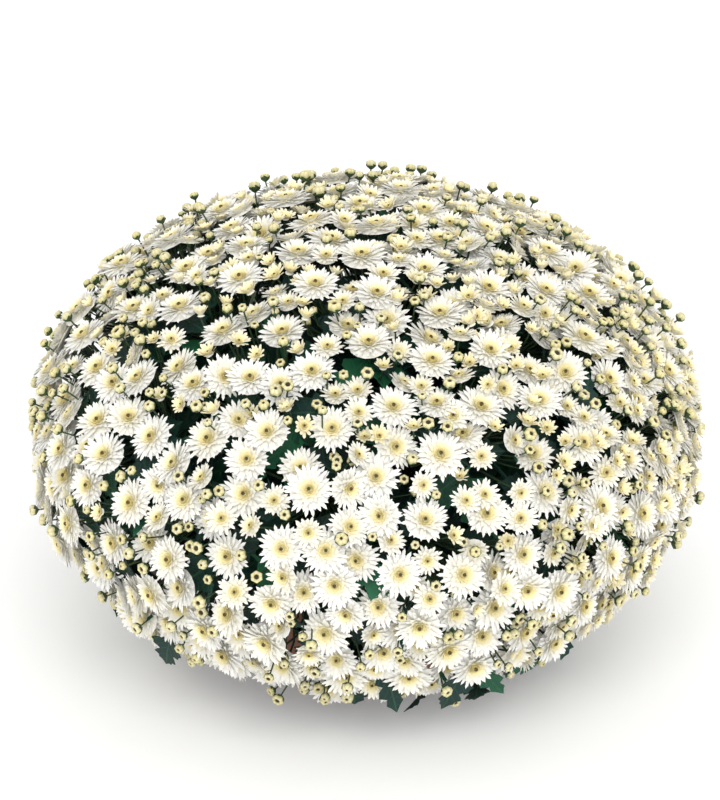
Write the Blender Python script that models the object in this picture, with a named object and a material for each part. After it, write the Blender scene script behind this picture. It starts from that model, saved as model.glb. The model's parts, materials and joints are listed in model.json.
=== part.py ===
# Pot chrysanthemum: a ball of double white blooms over a round nursery pot.
#
# Leafy stems stand in the soil, arch over the pot's rim and fork to the sprays. Each spray holds
# its blooms and a bud on stalks that meet in one hub, and the sprays close into one dome.
# Metres, +Z up. The origin is the centre of the pot's foot on the ground, and -Y is the front.

import math
import random
from dataclasses import dataclass
from itertools import combinations

import bmesh
import bpy
import numpy as np
from mathutils import Matrix, Vector
from mathutils.geometry import interpolate_bezier

RANDOM_SEED = 11

# The dome that the blooms lie on, an oblate ball round the pot
DOME_RADIUS = 0.262
DOME_HALF_HEIGHT = 0.185
DOME_CENTRE = Vector((0.0, 0.0, 0.192))
LOWEST_SINE = -0.82
SHELL_SCALE = (0.965, 1.018)

# Dark gaps in the flowers, as azimuth and latitude in degrees, and radius
POCKETS = (
    (-45, 43, 0.020),
    (-38, 30, 0.022),
    (-64, 23, 0.018),
    (-152, 40, 0.016),
    (20, 20, 0.022),
    (75, 35, 0.020),
    (130, 12, 0.022),
    (170, -8, 0.016),
)

# Blooms and buds
BLOOM_COUNT = 254
BLOOM_RADIUS = (0.0237, 0.0264)
FIRST_SPACING = 0.78
BLOOM_GAP = 0.0006
RELAX_STEPS = 220
PETAL_COUNT = 8
FACING_JITTER = 0.20
UPWARD_TURN = 0.30
LOWEST_FACING = -0.20
NOTCH_REACH = 0.68
OUTER_PETAL = (0.95, 1.00, -0.15)
INNER_PETAL = (0.86, 0.93, 0.08)
HEART_HEIGHT = 0.46
CALYX_DROP = 0.24
BUD_RADIUS = (0.0050, 0.0064)
BUD_LIFT = (0.005, 0.016)
BUD_SIDES = 5

# Sprays and their stalks
SPRAY_COUNT = 37
HUB_DEPTH = 0.066
HUB_TOP_RADIUS = 0.0088
HUB_FOOT_RADIUS = 0.0020
HUB_LENGTH = 0.0140
HUB_SIDES = 5
CALYX_RADIUS = 0.0036
SEAT_GAP = 0.0004

# Leafy stems
OUTER_STEM_COUNT = 8
TOP_STEM_COUNT = 2
TOP_SPRAYS = 6
STEM_RADIUS = 0.0038
STEM_TOP_RADIUS = 0.0030
BRANCH_RADIUS = 0.0022
OUTER_FORK = (0.084, 0.190)
TOP_FORK = (0.026, 0.210)
OUTER_HOLE_CIRCLE = 0.056
TOP_HOLE_CIRCLE = 0.018
STEM_STEPS = 4
BRANCH_STEPS = 4

# Leaves, with the outline of one half in leaf lengths: sinuses and lobes, base, stalk
LEAF_COUNT = 28
LEAF_LENGTH = (0.050, 0.064)
LEAF_THICKNESS = 0.0009
LEAF_STALK = 0.42
LEAF_OUTLINE = ((0.13, 0.82), (0.29, 0.72), (0.17, 0.53), (0.40, 0.38), (0.045, 0.10), (0.022, -LEAF_STALK))
LEAF_FOLD = 0.22
LEAF_DROOP = 0.20
LEAF_SHELL = (0.86, 0.985)
LOWEST_LEAF = 0.012
LEAF_TRIES = 6000
HEAD_DEPTH = 0.40

# Balls that feel for room round a leaf: (x, y, radius) in leaf lengths
LEAF_PROBES = (
    (0.0, -0.20, 0.04),
    (0.0, 0.10, 0.06),
    (0.0, 0.38, 0.11),
    (0.0, 0.68, 0.10),
    (0.0, 0.96, 0.05),
    (0.18, 0.40, 0.10),
    (-0.18, 0.40, 0.10),
    (0.36, 0.40, 0.06),
    (-0.36, 0.40, 0.06),
    (0.20, 0.66, 0.08),
    (-0.20, 0.66, 0.08),
)

# Pot and soil
POT_RIM_RADIUS = 0.0950
POT_FOOT_RADIUS = 0.0690
POT_HEIGHT = 0.145
POT_WALL = 0.0024
COLLAR_STEP = 0.0030
COLLAR_HEIGHT = 0.020
POT_SIDES = 18
FOOT_RECESS = 0.004
FOOT_RING_WIDTH = 0.008
DRAIN_HOLE_RADIUS = 0.006
DRAIN_HOLE_COUNT = 4
DRAIN_CIRCLE = 0.040
SOIL_LEVEL = 0.130
SOIL_GAP = 0.0004
HOLE_DEPTH = 0.028
HOLE_RADIUS = 0.0049

GOLDEN_ANGLE = math.pi * (3 - math.sqrt(5))
UP = Vector((0, 0, 1))


@dataclass
class Flower:
    at: Vector
    facing: Vector
    radius: float
    spray: int


@dataclass
class Spray:
    hub: Vector
    axis: Vector


# Where everything grows


def dome_area_above(sine):
    """Area of the dome above this sine of latitude, in units of 2 pi DOME_RADIUS."""
    flatness = math.sqrt(DOME_RADIUS**2 - DOME_HALF_HEIGHT**2)

    def up_to(value):
        slant = math.hypot(DOME_HALF_HEIGHT, flatness * value)
        curve = DOME_HALF_HEIGHT**2 / (2 * flatness) * math.asinh(value * flatness / DOME_HALF_HEIGHT)
        return value * slant / 2 + curve

    return up_to(1.0) - up_to(sine)


def sine_at(share):
    """Sine of the latitude that this share of the flowering area lies above."""
    wanted = share * dome_area_above(LOWEST_SINE)
    low, high = LOWEST_SINE, 1.0
    for _ in range(30):
        middle = (low + high) / 2
        if dome_area_above(middle) > wanted:
            low = middle
        else:
            high = middle
    return (low + high) / 2


def dome_point(azimuth, sine):
    across = DOME_RADIUS * math.sqrt(max(0.0, 1 - sine * sine))
    height = DOME_HALF_HEIGHT * sine
    return DOME_CENTRE + Vector((across * math.cos(azimuth), across * math.sin(azimuth), height))


def dome_normal(point):
    offset = point - DOME_CENTRE
    flat, tall = DOME_RADIUS**2, DOME_HALF_HEIGHT**2
    return Vector((offset.x / flat, offset.y / flat, offset.z / tall)).normalized()


def shell_scale(point):
    """1 on the dome, and less inside it."""
    offset = point - DOME_CENTRE
    return math.hypot(offset.x / DOME_RADIUS, offset.y / DOME_RADIUS, offset.z / DOME_HALF_HEIGHT)


def random_offset(draw, size):
    return Vector([draw.uniform(-size, size) for _ in range(3)])


def flower_facing(point, draw):
    """Which way a flower looks: out of the dome, turned a little to the light, never far down."""
    facing = dome_normal(point) + UP * UPWARD_TURN + random_offset(draw, FACING_JITTER)
    facing.normalize()
    facing.z = max(facing.z, LOWEST_FACING)
    return facing.normalized()


def thrown_spots(draw):
    """Spots and radii of the blooms, thrown onto the dome where they find most of their room."""
    spots, radii = [], []
    while len(spots) < BLOOM_COUNT:
        spot = dome_point(draw.uniform(0, 2 * math.pi), sine_at(draw.random()))
        radius = draw.uniform(*BLOOM_RADIUS)
        if all(
            (spot - other).length > FIRST_SPACING * (radius + reach)
            for other, reach in zip(spots, radii)
        ):
            spots.append(spot)
            radii.append(radius)
    return spots, radii


def pushed_apart(spots, radii, scales):
    """The spots after neighbours and pockets have pushed each other apart along the dome."""
    axes = np.array((DOME_RADIUS, DOME_RADIUS, DOME_HALF_HEIGHT))
    fixed = [
        dome_point(math.radians(azimuth), math.sin(math.radians(latitude))) - DOME_CENTRE
        for azimuth, latitude, _ in POCKETS
    ]
    at = np.array([*(spot - DOME_CENTRE for spot in spots), *fixed])
    reach = np.array([*radii, *(pocket[2] for pocket in POCKETS)])
    scale = np.array([*scales, *(1.0 for _ in POCKETS)])
    needed = reach[:, None] + reach[None, :] + BLOOM_GAP
    np.fill_diagonal(needed, 0.0)
    moving = len(spots)
    for _ in range(RELAX_STEPS):
        offset = at[:, None, :] - at[None, :, :]
        distance = np.linalg.norm(offset, axis=2) + np.eye(len(at))
        push = np.clip(needed - distance, 0.0, None) * 0.55 / distance
        at[:moving] += (offset * push[:, :, None]).sum(axis=1)[:moving]
        unit = at / axes
        unit /= np.linalg.norm(unit, axis=1, keepdims=True)
        sine = np.clip(unit[:, 2], LOWEST_SINE, 1.0)
        across = np.sqrt(1 - sine**2) / np.maximum(np.hypot(unit[:, 0], unit[:, 1]), 1e-9)
        unit = np.column_stack((unit[:, 0] * across, unit[:, 1] * across, sine))
        at = unit * axes * scale[:, None]
    return [DOME_CENTRE + Vector(point) for point in at[:moving].tolist()]


def spray_centres():
    """Spray centres spread evenly over the dome on a golden spiral."""
    return [
        dome_point(index * GOLDEN_ANGLE, sine_at((index + 0.5) / SPRAY_COUNT))
        for index in range(SPRAY_COUNT)
    ]


def nearest_spray(point, centres):
    return min(range(len(centres)), key=lambda index: (centres[index] - point).length_squared)


def place_blooms(centres, draw):
    spots, radii = thrown_spots(draw)
    scales = [draw.uniform(*SHELL_SCALE) for _ in spots]
    blooms = [
        Flower(spot, flower_facing(spot, draw), radius, nearest_spray(spot, centres))
        for spot, radius in zip(pushed_apart(spots, radii, scales), radii)
    ]
    for first, second in combinations(blooms, 2):
        excess = first.radius + second.radius + BLOOM_GAP - (first.at - second.at).length
        if excess > 0 and first.spray != second.spray:
            first.radius -= excess / 2
            second.radius -= excess / 2
    return blooms


def place_buds(centres, blooms, draw):
    """One bud a spray, in the widest gap found there and a little proud of the blooms."""
    lowest = DOME_CENTRE.z + LOWEST_SINE * DOME_HALF_HEIGHT
    buds = []
    for index, centre in enumerate(centres):
        tries = []
        while len(tries) < 40:
            spot = centre + random_offset(draw, 0.060)
            spot = DOME_CENTRE + (spot - DOME_CENTRE) / shell_scale(spot)
            if nearest_spray(spot, centres) == index and spot.z > lowest:
                tries.append(spot)
        spot = max(tries, key=lambda spot: room_at(spot, blooms))
        spot += dome_normal(spot) * draw.uniform(*BUD_LIFT)
        buds.append(Flower(spot, flower_facing(spot, draw), draw.uniform(*BUD_RADIUS), index))
    return buds


def room_at(spot, blooms):
    return min((spot - bloom.at).length - bloom.radius for bloom in blooms)


def place_hubs(blooms):
    """The hub of each spray, deep inside the dome under the middle of its blooms."""
    sprays = []
    for index in range(SPRAY_COUNT):
        own = [bloom.at for bloom in blooms if bloom.spray == index]
        middle = sum(own, Vector()) / len(own)
        axis = dome_normal(middle)
        sprays.append(Spray(middle - axis * HUB_DEPTH, axis))
    return sprays


def stalk_root(spray):
    """Where a spray's stalks meet, low in its hub."""
    return spray.hub - spray.axis * 0.36 * HUB_LENGTH


# Building blocks


def clear_scene():
    for obj in list(bpy.data.objects):
        bpy.data.objects.remove(obj)


def new_collection(name):
    collection = bpy.data.collections.new(name)
    bpy.context.scene.collection.children.link(collection)
    return collection


def new_material(name, colour, roughness):
    material = bpy.data.materials.new(name)
    material.use_nodes = True
    material.diffuse_color = (*colour, 1.0)
    shader = material.node_tree.nodes["Principled BSDF"]
    shader.inputs["Base Color"].default_value = (*colour, 1.0)
    shader.inputs["Roughness"].default_value = roughness
    shader.inputs["Metallic"].default_value = 0.0
    return material


def aim(direction):
    """Rotation that turns +Z to this direction."""
    return direction.to_track_quat("Z", "Y").to_matrix().to_4x4()


def object_from(shape, name, collection, place=None):
    bmesh.ops.recalc_face_normals(shape, faces=shape.faces[:])
    mesh = bpy.data.meshes.new(name)
    shape.to_mesh(mesh)
    shape.free()
    if place is not None:
        mesh.transform(place)
    obj = bpy.data.objects.new(name, mesh)
    collection.objects.link(obj)
    return obj


def extruded(shape, edges):
    """Draws a ring of edges out, and returns the new ring's points and edges."""
    grown = bmesh.ops.extrude_edge_only(shape, edges=edges)["geom"]
    points = [item for item in grown if isinstance(item, bmesh.types.BMVert)]
    ring = [edge for edge in shape.edges if edge.is_boundary and edge.verts[0] in points]
    return points, ring


def swept(path, radii, sides, name, collection):
    """A closed tube of few sides along the path."""
    shape = bmesh.new()
    ring = bmesh.ops.create_circle(shape, cap_ends=True, segments=sides, radius=1.0)["verts"]
    flat = [point.co.copy() for point in ring]
    edges = [edge for edge in shape.edges if edge.is_boundary]
    turn = UP.rotation_difference(path[1] - path[0])
    for step, (centre, radius) in enumerate(zip(path, radii)):
        if step:
            ahead = path[min(step + 1, len(path) - 1)] - path[step - 1]
            turn = (turn @ UP).rotation_difference(ahead) @ turn
            ring, edges = extruded(shape, edges)
        for point, place in zip(ring, flat):
            point.co = centre + turn @ (place * radius)
    bmesh.ops.contextual_create(shape, geom=edges)
    return object_from(shape, name, collection)


def head_on_stalk(flower, rim, height, root, name, collection):
    """A flower head with this rim of (reach, rise), over a calyx that tapers down to its root."""
    shape = bmesh.new()
    radius = flower.radius
    place = Matrix.Translation(flower.at) @ aim(flower.facing)
    bmesh.ops.create_cone(
        shape, cap_ends=False, segments=len(rim), radius1=1.0, radius2=0.0, depth=1.0
    )
    apex = max(shape.verts, key=lambda point: point.co.z)
    for point, (reach, rise) in zip([p for p in shape.verts if p is not apex], rim):
        point.co = Vector((point.co.x * reach, point.co.y * reach, rise)) * radius
    apex.co = UP * height * radius
    rim_edges = [edge for edge in shape.edges if edge.is_boundary]
    calyx_radius = min(CALYX_RADIUS, 0.55 * radius)
    calyx = bmesh.ops.create_circle(shape, segments=3, radius=calyx_radius)["verts"]
    ring = [edge for edge in shape.edges if edge.is_wire]
    bmesh.ops.translate(shape, verts=calyx, vec=(0, 0, -CALYX_DROP * radius))
    bmesh.ops.bridge_loops(shape, edges=rim_edges + ring)
    ends, _ = extruded(shape, ring)
    bmesh.ops.pointmerge(shape, verts=ends, merge_co=place.inverted() @ root)
    bmesh.ops.triangulate(shape, faces=shape.faces[:])
    return object_from(shape, name, collection, place)


def joined(name, base, pieces, material, collection):
    """One closed body: the base and everything in the pieces collection, united."""
    union = base.modifiers.new("Join", "BOOLEAN")
    union.operation = "UNION"
    union.operand_type = "COLLECTION"
    union.collection = pieces
    union.solver = "MANIFOLD"
    bpy.context.view_layer.update()
    graph = bpy.context.evaluated_depsgraph_get()
    mesh = bpy.data.meshes.new_from_object(base.evaluated_get(graph))
    mesh.materials.clear()
    mesh.materials.append(material)
    for piece in [base, *pieces.objects]:
        bpy.data.objects.remove(piece)
    bpy.data.collections.remove(pieces)
    result = bpy.data.objects.new(name, mesh)
    collection.objects.link(result)
    return result


# Sprays


def petal_rim(draw):
    """(reach, rise) round a bloom: outer petals hang and inner ones stand, with a notch between."""
    rim = []
    for index in range(PETAL_COUNT):
        low, high, rise = INNER_PETAL if index % 2 else OUTER_PETAL
        rim.append((draw.uniform(low, high), rise))
        rim.append((NOTCH_REACH, 0.0))
    return rim


def build_spray(index, spray, blooms, bud, material, plant):
    """One flowering spray: its hub, and each bloom and the bud on its own stalk."""
    draw = random.Random(1000 * RANDOM_SEED + index)
    pieces = new_collection("spray pieces")
    shape = bmesh.new()
    bmesh.ops.create_cone(
        shape,
        cap_ends=True,
        segments=HUB_SIDES,
        radius1=HUB_FOOT_RADIUS,
        radius2=HUB_TOP_RADIUS,
        depth=HUB_LENGTH,
    )
    base = object_from(shape, "hub", plant, Matrix.Translation(spray.hub) @ aim(spray.axis))
    root = stalk_root(spray)
    for bloom in blooms:
        head_on_stalk(bloom, petal_rim(draw), HEART_HEIGHT, root, "bloom", pieces)
    head_on_stalk(bud, [(1.0, 0.0)] * BUD_SIDES, 0.9, root, "bud", pieces)
    return joined(f"spray_{index + 1:02d}", base, pieces, material, plant)


# Leafy stems


@dataclass
class Stem:
    name: str
    hole: Vector
    fork: Vector
    sprays: list


def plan_stems(sprays):
    """Two stems in the middle carry the top sprays, and the rest share the others by azimuth."""
    by_height = sorted(range(len(sprays)), key=lambda index: -sprays[index].hub.z)
    stems = []
    for indices, count, fork, circle in (
        (by_height[:TOP_SPRAYS], TOP_STEM_COUNT, TOP_FORK, TOP_HOLE_CIRCLE),
        (by_height[TOP_SPRAYS:], OUTER_STEM_COUNT, OUTER_FORK, OUTER_HOLE_CIRCLE),
    ):
        indices.sort(key=lambda index: math.atan2(sprays[index].hub.y, sprays[index].hub.x))
        bounds = [round(len(indices) * step / count) for step in range(count + 1)]
        for first, last in zip(bounds, bounds[1:]):
            own = indices[first:last]
            middle = sum((sprays[index].hub for index in own), Vector())
            out = Vector((middle.x, middle.y, 0)).normalized()
            foot = out * circle + UP * (SOIL_LEVEL - HOLE_DEPTH + SOIL_GAP)
            name = f"leafy_stem_{len(stems) + 1:02d}"
            stems.append(Stem(name, foot, out * fork[0] + UP * fork[1], own))
    return stems


def stem_path(stem):
    """Straight up out of the soil, then leaning over to the fork."""
    collar = Vector((stem.hole.x, stem.hole.y, SOIL_LEVEL + 0.004))
    lean = (stem.fork - collar).length / 2
    arriving = (UP + outward(stem) * 0.8).normalized()
    curve = interpolate_bezier(
        collar, collar + UP * lean, stem.fork - arriving * lean * 0.8, stem.fork, STEM_STEPS
    )
    return [stem.hole, *curve]


def outward(stem):
    return Vector((stem.fork.x, stem.fork.y, 0)).normalized()


def branch_path(stem, start, spray):
    """From the stem's fork in an arch that comes in along the spray's axis."""
    foot = spray.hub - spray.axis * (HUB_LENGTH / 2 + SEAT_GAP)
    reach = (foot - start).length
    leaving = (UP * 0.6 + outward(stem) * 0.4 + (foot - start) / reach * 1.3).normalized()
    return interpolate_bezier(
        start,
        start + leaving * reach * 0.30,
        foot - spray.axis * reach * 0.36,
        foot,
        BRANCH_STEPS + 1,
    )


def leaf_point(x, y):
    """A point of a leaf in leaf lengths: folded up along the midrib, and hanging at the tip."""
    return Vector((x, y, LEAF_FOLD * abs(x) - LEAF_DROOP * max(y, 0) ** 2))


def leaf_frame(base, direction, roll, length):
    """Frame of a leaf whose stalk starts at the base, with its length along the direction."""
    turn = direction.to_track_quat("Y", "Z").to_matrix().to_4x4() @ Matrix.Rotation(roll, 4, "Y")
    return Matrix.Translation(base) @ turn @ Matrix.Scale(length, 4) @ Matrix.Translation((0, LEAF_STALK, 0))


def clears(points, margins, limbs, heads):
    """Whether balls of these margins at the points touch no stalk, branch, leaf or flower head."""
    starts, ends, thickness = limbs
    run = ends - starts
    offset = points[:, None] - starts[None]
    share = np.clip((offset * run).sum(axis=2) / (run * run).sum(axis=1), 0, 1)
    gap = np.linalg.norm(offset - share[:, :, None] * run, axis=2) - thickness
    if (gap < margins[:, None]).any():
        return False
    centres, facings, radii = heads
    offset = points[:, None] - centres[None]
    along = (offset * facings).sum(axis=2)
    across = (offset * offset).sum(axis=2) - along**2
    reach, depth = radii + margins[:, None], HEAD_DEPTH * radii + margins[:, None]
    return bool((across / reach**2 + along**2 / depth**2 > 1).all())


def grow_leaves(paths, limbs, heads, draw):
    """Leaves from the branches, turned until they near the flowers and touch nothing."""
    probes = np.array([(*leaf_point(x, y), 1) for x, y, _ in LEAF_PROBES])
    margins = np.array([margin for _, _, margin in LEAF_PROBES])
    leaves = []
    for _ in range(LEAF_TRIES):
        if len(leaves) == LEAF_COUNT:
            break
        stem_name, path = draw.choice(paths)
        step = draw.randrange(1, len(path) - 1)
        base = path[step].lerp(path[step + 1], draw.uniform(0.2, 0.8))
        length = draw.uniform(*LEAF_LENGTH)
        direction = (dome_normal(base) + random_offset(draw, 0.8)).normalized()
        frame = leaf_frame(base, direction, draw.uniform(0, 2 * math.pi), length)
        tip = frame @ leaf_point(0, 1)
        if tip.z < LOWEST_LEAF or not LEAF_SHELL[0] < shell_scale(tip) < LEAF_SHELL[1]:
            continue
        points = (probes @ np.array(frame).T)[:, :3]
        if clears(points, margins * length, limbs, heads):
            leaves.append((stem_name, length, frame))
            limbs = (
                np.vstack((limbs[0], points)),
                np.vstack((limbs[1], points + 1e-5)),
                np.append(limbs[2], margins * length),
            )
    return leaves


def leaf_shape(length, frame):
    """A lobed leaf with its stalk, as a fan of the outline made thick."""
    shape = bmesh.new()
    outline = [(0.0, 1.0), *LEAF_OUTLINE, *((-x, y) for x, y in reversed(LEAF_OUTLINE))]
    points = bmesh.ops.create_circle(
        shape, cap_ends=True, cap_tris=True, segments=len(outline), radius=1.0
    )["verts"]
    middle = min(points, key=lambda point: point.co.length)
    middle.co = leaf_point(0, 0.45)
    for point, (x, y) in zip([p for p in points if p is not middle], outline):
        point.co = leaf_point(x, y)
    bmesh.ops.transform(shape, matrix=frame, verts=shape.verts[:])
    bmesh.ops.solidify(shape, geom=shape.faces[:], thickness=LEAF_THICKNESS)
    bmesh.ops.triangulate(shape, faces=shape.faces[:])
    return shape


def graded(first, last, count):
    return [first + (last - first) * step / (count - 1) for step in range(count)]


def limbs_of(flowers, sprays, lines):
    """Stalks and the lines of trunks and branches, as arrays of starts, ends and thickness."""
    stalks = [(stalk_root(sprays[flower.spray]), flower.at, CALYX_RADIUS) for flower in flowers]
    wood = [(*pair, STEM_RADIUS) for line in lines for pair in zip(line, line[1:])]
    return tuple(np.array(column) for column in zip(*stalks, *wood))


def heads_of(flowers):
    columns = zip(*((flower.at, flower.facing, flower.radius) for flower in flowers))
    return tuple(np.array(column) for column in columns)


def build_stems(stems, sprays, flowers, material, plant):
    """Each leafy stem: its trunk, a branch to the foot of each spray, and its leaves."""
    trunks, pieces, paths = {}, {}, []
    for stem in stems:
        trunk = stem_path(stem)
        trunks[stem.name] = swept(
            trunk, graded(STEM_RADIUS, STEM_TOP_RADIUS, len(trunk)), 4, "trunk", plant
        )
        pieces[stem.name] = new_collection("stem pieces")
        for rank, index in enumerate(sorted(stem.sprays, key=lambda index: sprays[index].hub.z)):
            path = branch_path(stem, trunk[-1].lerp(trunk[-2], 0.15 + 0.27 * rank), sprays[index])
            radii = graded(BRANCH_RADIUS, HUB_FOOT_RADIUS, len(path))
            swept(path, radii, 3, "branch", pieces[stem.name])
            paths.append((stem.name, path))
    lines = [path for _, path in paths] + [stem_path(stem) for stem in stems]
    limbs, heads = limbs_of(flowers, sprays, lines), heads_of(flowers)
    for name, length, frame in grow_leaves(paths, limbs, heads, random.Random(RANDOM_SEED + 5)):
        object_from(leaf_shape(length, frame), "leaf", pieces[name])
    for stem in stems:
        joined(stem.name, trunks[stem.name], pieces[stem.name], material, plant)


# Pot and soil


def turned(profile, sides, name, collection):
    """A solid of revolution from a profile of (radius, height) that ends on the axis."""
    shape = bmesh.new()
    points = [shape.verts.new((radius, 0, height)) for radius, height in profile]
    for first, second in zip(points, points[1:]):
        shape.edges.new((first, second))
    bmesh.ops.spin(
        shape,
        geom=shape.verts[:] + shape.edges[:],
        cent=(0, 0, 0),
        axis=(0, 0, 1),
        angle=2 * math.pi,
        steps=sides,
        use_merge=True,
        use_duplicate=False,
    )
    bmesh.ops.remove_doubles(shape, verts=shape.verts[:], dist=0.00001)
    solid = object_from(shape, name, collection)
    solid.data.shade_smooth()
    solid.data.set_sharp_from_angle(angle=math.radians(35))
    return solid


def cut(obj, cutters):
    """Takes the cutters out of the object."""
    difference = obj.modifiers.new("Holes", "BOOLEAN")
    difference.operation = "DIFFERENCE"
    difference.operand_type = "COLLECTION"
    difference.collection = cutters
    difference.solver = "EXACT"


def add_cutter(centre, radius, bottom, top, sides, name, cutters):
    shape = bmesh.new()
    bmesh.ops.create_cone(
        shape, cap_ends=True, segments=sides, radius1=radius, radius2=radius, depth=top - bottom
    )
    place = Matrix.Translation((centre.x, centre.y, (top + bottom) / 2))
    cutter = object_from(shape, name, cutters, place)
    cutter.hide_render = True
    cutter.display_type = "WIRE"


def pot_radius(height):
    """Outer radius of the tapered pot wall under the collar."""
    taper = (POT_RIM_RADIUS - COLLAR_STEP - POT_FOOT_RADIUS) / POT_HEIGHT
    return POT_FOOT_RADIUS + taper * height


def build_pot(material, plant):
    collar = POT_HEIGHT - COLLAR_HEIGHT
    floor = FOOT_RECESS + POT_WALL
    profile = (
        (0, FOOT_RECESS),
        (POT_FOOT_RADIUS - FOOT_RING_WIDTH, FOOT_RECESS),
        (POT_FOOT_RADIUS - FOOT_RING_WIDTH + 0.001, 0),
        (POT_FOOT_RADIUS, 0),
        (pot_radius(collar), collar),
        (pot_radius(collar) + COLLAR_STEP, collar + 0.002),
        (POT_RIM_RADIUS, POT_HEIGHT),
        (pot_radius(POT_HEIGHT) - POT_WALL, POT_HEIGHT),
        (pot_radius(floor) - POT_WALL, floor),
        (0, floor),
    )
    pot = turned(profile, POT_SIDES, "pot", plant)
    pot.data.materials.append(material)
    cutters = new_collection("drain holes")
    for index in range(DRAIN_HOLE_COUNT):
        azimuth = 2 * math.pi * (index + 0.5) / DRAIN_HOLE_COUNT
        centre = Vector((math.cos(azimuth), math.sin(azimuth), 0)) * DRAIN_CIRCLE
        name = f"drain hole {index + 1}"
        add_cutter(centre, DRAIN_HOLE_RADIUS, -0.01, floor + 0.01, 6, name, cutters)
    cut(pot, cutters)


def build_soil(stems, material, plant):
    floor = FOOT_RECESS + POT_WALL + SOIL_GAP
    inset = POT_WALL + SOIL_GAP
    profile = (
        (0, floor),
        (pot_radius(floor) - inset, floor),
        (pot_radius(SOIL_LEVEL) - inset, SOIL_LEVEL),
        (0, SOIL_LEVEL),
    )
    soil = turned(profile, POT_SIDES, "soil", plant)
    soil.data.materials.append(material)
    cutters = new_collection("stem holes")
    bottom, top = SOIL_LEVEL - HOLE_DEPTH, SOIL_LEVEL + 0.02
    for index, stem in enumerate(stems):
        add_cutter(stem.hole, HOLE_RADIUS, bottom, top, 6, f"stem hole {index + 1}", cutters)
    cut(soil, cutters)


def main():
    clear_scene()
    plant = new_collection("pot chrysanthemum")
    petals = new_material("white petals", (0.90, 0.89, 0.82), 0.6)
    leaves = new_material("dark leaves", (0.045, 0.125, 0.070), 0.55)
    terracotta = new_material("terracotta plastic", (0.36, 0.13, 0.07), 0.5)
    peat = new_material("peat", (0.035, 0.022, 0.014), 0.95)

    draw = random.Random(RANDOM_SEED)
    centres = spray_centres()
    blooms = place_blooms(centres, draw)
    buds = place_buds(centres, blooms, draw)
    sprays = place_hubs(blooms)
    stems = plan_stems(sprays)

    build_pot(terracotta, plant)
    build_soil(stems, peat, plant)
    for index, spray in enumerate(sprays):
        own = [bloom for bloom in blooms if bloom.spray == index]
        build_spray(index, spray, own, buds[index], petals, plant)
    build_stems(stems, sprays, blooms + buds, leaves, plant)


main()
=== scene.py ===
# Pot chrysanthemum: the finished plant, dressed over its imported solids.
#
# The blooms, stalks, stems and leaves repeat the places of the solids, which the same rules and the
# same seed lay out here again. Between them grow the medium and half-open flowers, the buds and the
# small leaves. Metres, +Z up, with the front towards -Y.

import json
import math
import random
from dataclasses import dataclass
from functools import cache
from itertools import combinations

import bmesh
import bpy
import numpy as np
from bpy.props import FloatProperty, FloatVectorProperty, IntProperty, PointerProperty
from mathutils import Matrix, Vector
from mathutils.geometry import interpolate_bezier

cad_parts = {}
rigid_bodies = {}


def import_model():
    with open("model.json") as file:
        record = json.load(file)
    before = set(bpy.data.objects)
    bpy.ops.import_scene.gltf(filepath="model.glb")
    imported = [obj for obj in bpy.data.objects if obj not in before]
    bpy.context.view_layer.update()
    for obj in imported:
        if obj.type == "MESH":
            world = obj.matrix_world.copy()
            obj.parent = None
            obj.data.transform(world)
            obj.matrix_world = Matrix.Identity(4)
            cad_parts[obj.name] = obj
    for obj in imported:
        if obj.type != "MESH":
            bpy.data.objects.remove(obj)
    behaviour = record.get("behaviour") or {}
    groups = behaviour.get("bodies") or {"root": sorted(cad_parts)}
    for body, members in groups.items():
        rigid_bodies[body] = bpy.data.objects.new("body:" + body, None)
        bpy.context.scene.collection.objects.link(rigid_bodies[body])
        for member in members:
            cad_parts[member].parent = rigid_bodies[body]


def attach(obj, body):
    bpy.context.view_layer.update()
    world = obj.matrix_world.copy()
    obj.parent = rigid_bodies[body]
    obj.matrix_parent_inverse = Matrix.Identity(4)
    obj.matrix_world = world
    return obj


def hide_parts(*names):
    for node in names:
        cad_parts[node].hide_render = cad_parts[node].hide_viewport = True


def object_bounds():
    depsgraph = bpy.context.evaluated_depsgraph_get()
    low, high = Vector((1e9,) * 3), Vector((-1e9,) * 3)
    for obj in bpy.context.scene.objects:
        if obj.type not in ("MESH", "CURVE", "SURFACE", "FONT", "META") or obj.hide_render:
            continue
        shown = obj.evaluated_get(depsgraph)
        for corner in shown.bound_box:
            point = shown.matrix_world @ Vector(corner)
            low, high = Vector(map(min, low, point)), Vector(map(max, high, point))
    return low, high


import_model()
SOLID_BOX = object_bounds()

bl_info = {
    "name": "Pot Chrysanthemum",
    "version": (1, 0, 0),
    "blender": (4, 5, 0),
    "location": "View3D > Sidebar > Chrysanthemum",
    "description": "Grows a ball of white chrysanthemums in a nursery pot",
    "category": "Add Mesh",
}

# Places shared with the solids

RANDOM_SEED = 11
DOME_RADIUS = 0.262
DOME_HALF_HEIGHT = 0.185
DOME_CENTRE = Vector((0.0, 0.0, 0.192))
LOWEST_SINE = -0.82
SHELL_SCALE = (0.965, 1.018)
POCKETS = (
    (-45, 43, 0.020), (-38, 30, 0.022), (-64, 23, 0.018), (-152, 40, 0.016),
    (20, 20, 0.022), (75, 35, 0.020), (130, 12, 0.022), (170, -8, 0.016),
)
BLOOM_COUNT = 254
BLOOM_RADIUS = (0.0237, 0.0264)
FIRST_SPACING = 0.78
BLOOM_GAP = 0.0006
RELAX_STEPS = 220
PUSH_SHARE = 0.55
FACING_JITTER = 0.20
UPWARD_TURN = 0.30
LOWEST_FACING = -0.20
BUD_RADIUS = (0.0050, 0.0064)
BUD_LIFT = (0.005, 0.016)
SPRAY_COUNT = 37
BUD_TRIES = 40
BUD_SPREAD = 0.060
HUB_DEPTH = 0.066
HUB_LENGTH = 0.0140
HUB_FOOT_RADIUS = 0.0020
HUB_RADII = (HUB_FOOT_RADIUS, 0.0036, 0.0030)
CALYX_RADIUS = 0.0036
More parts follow.
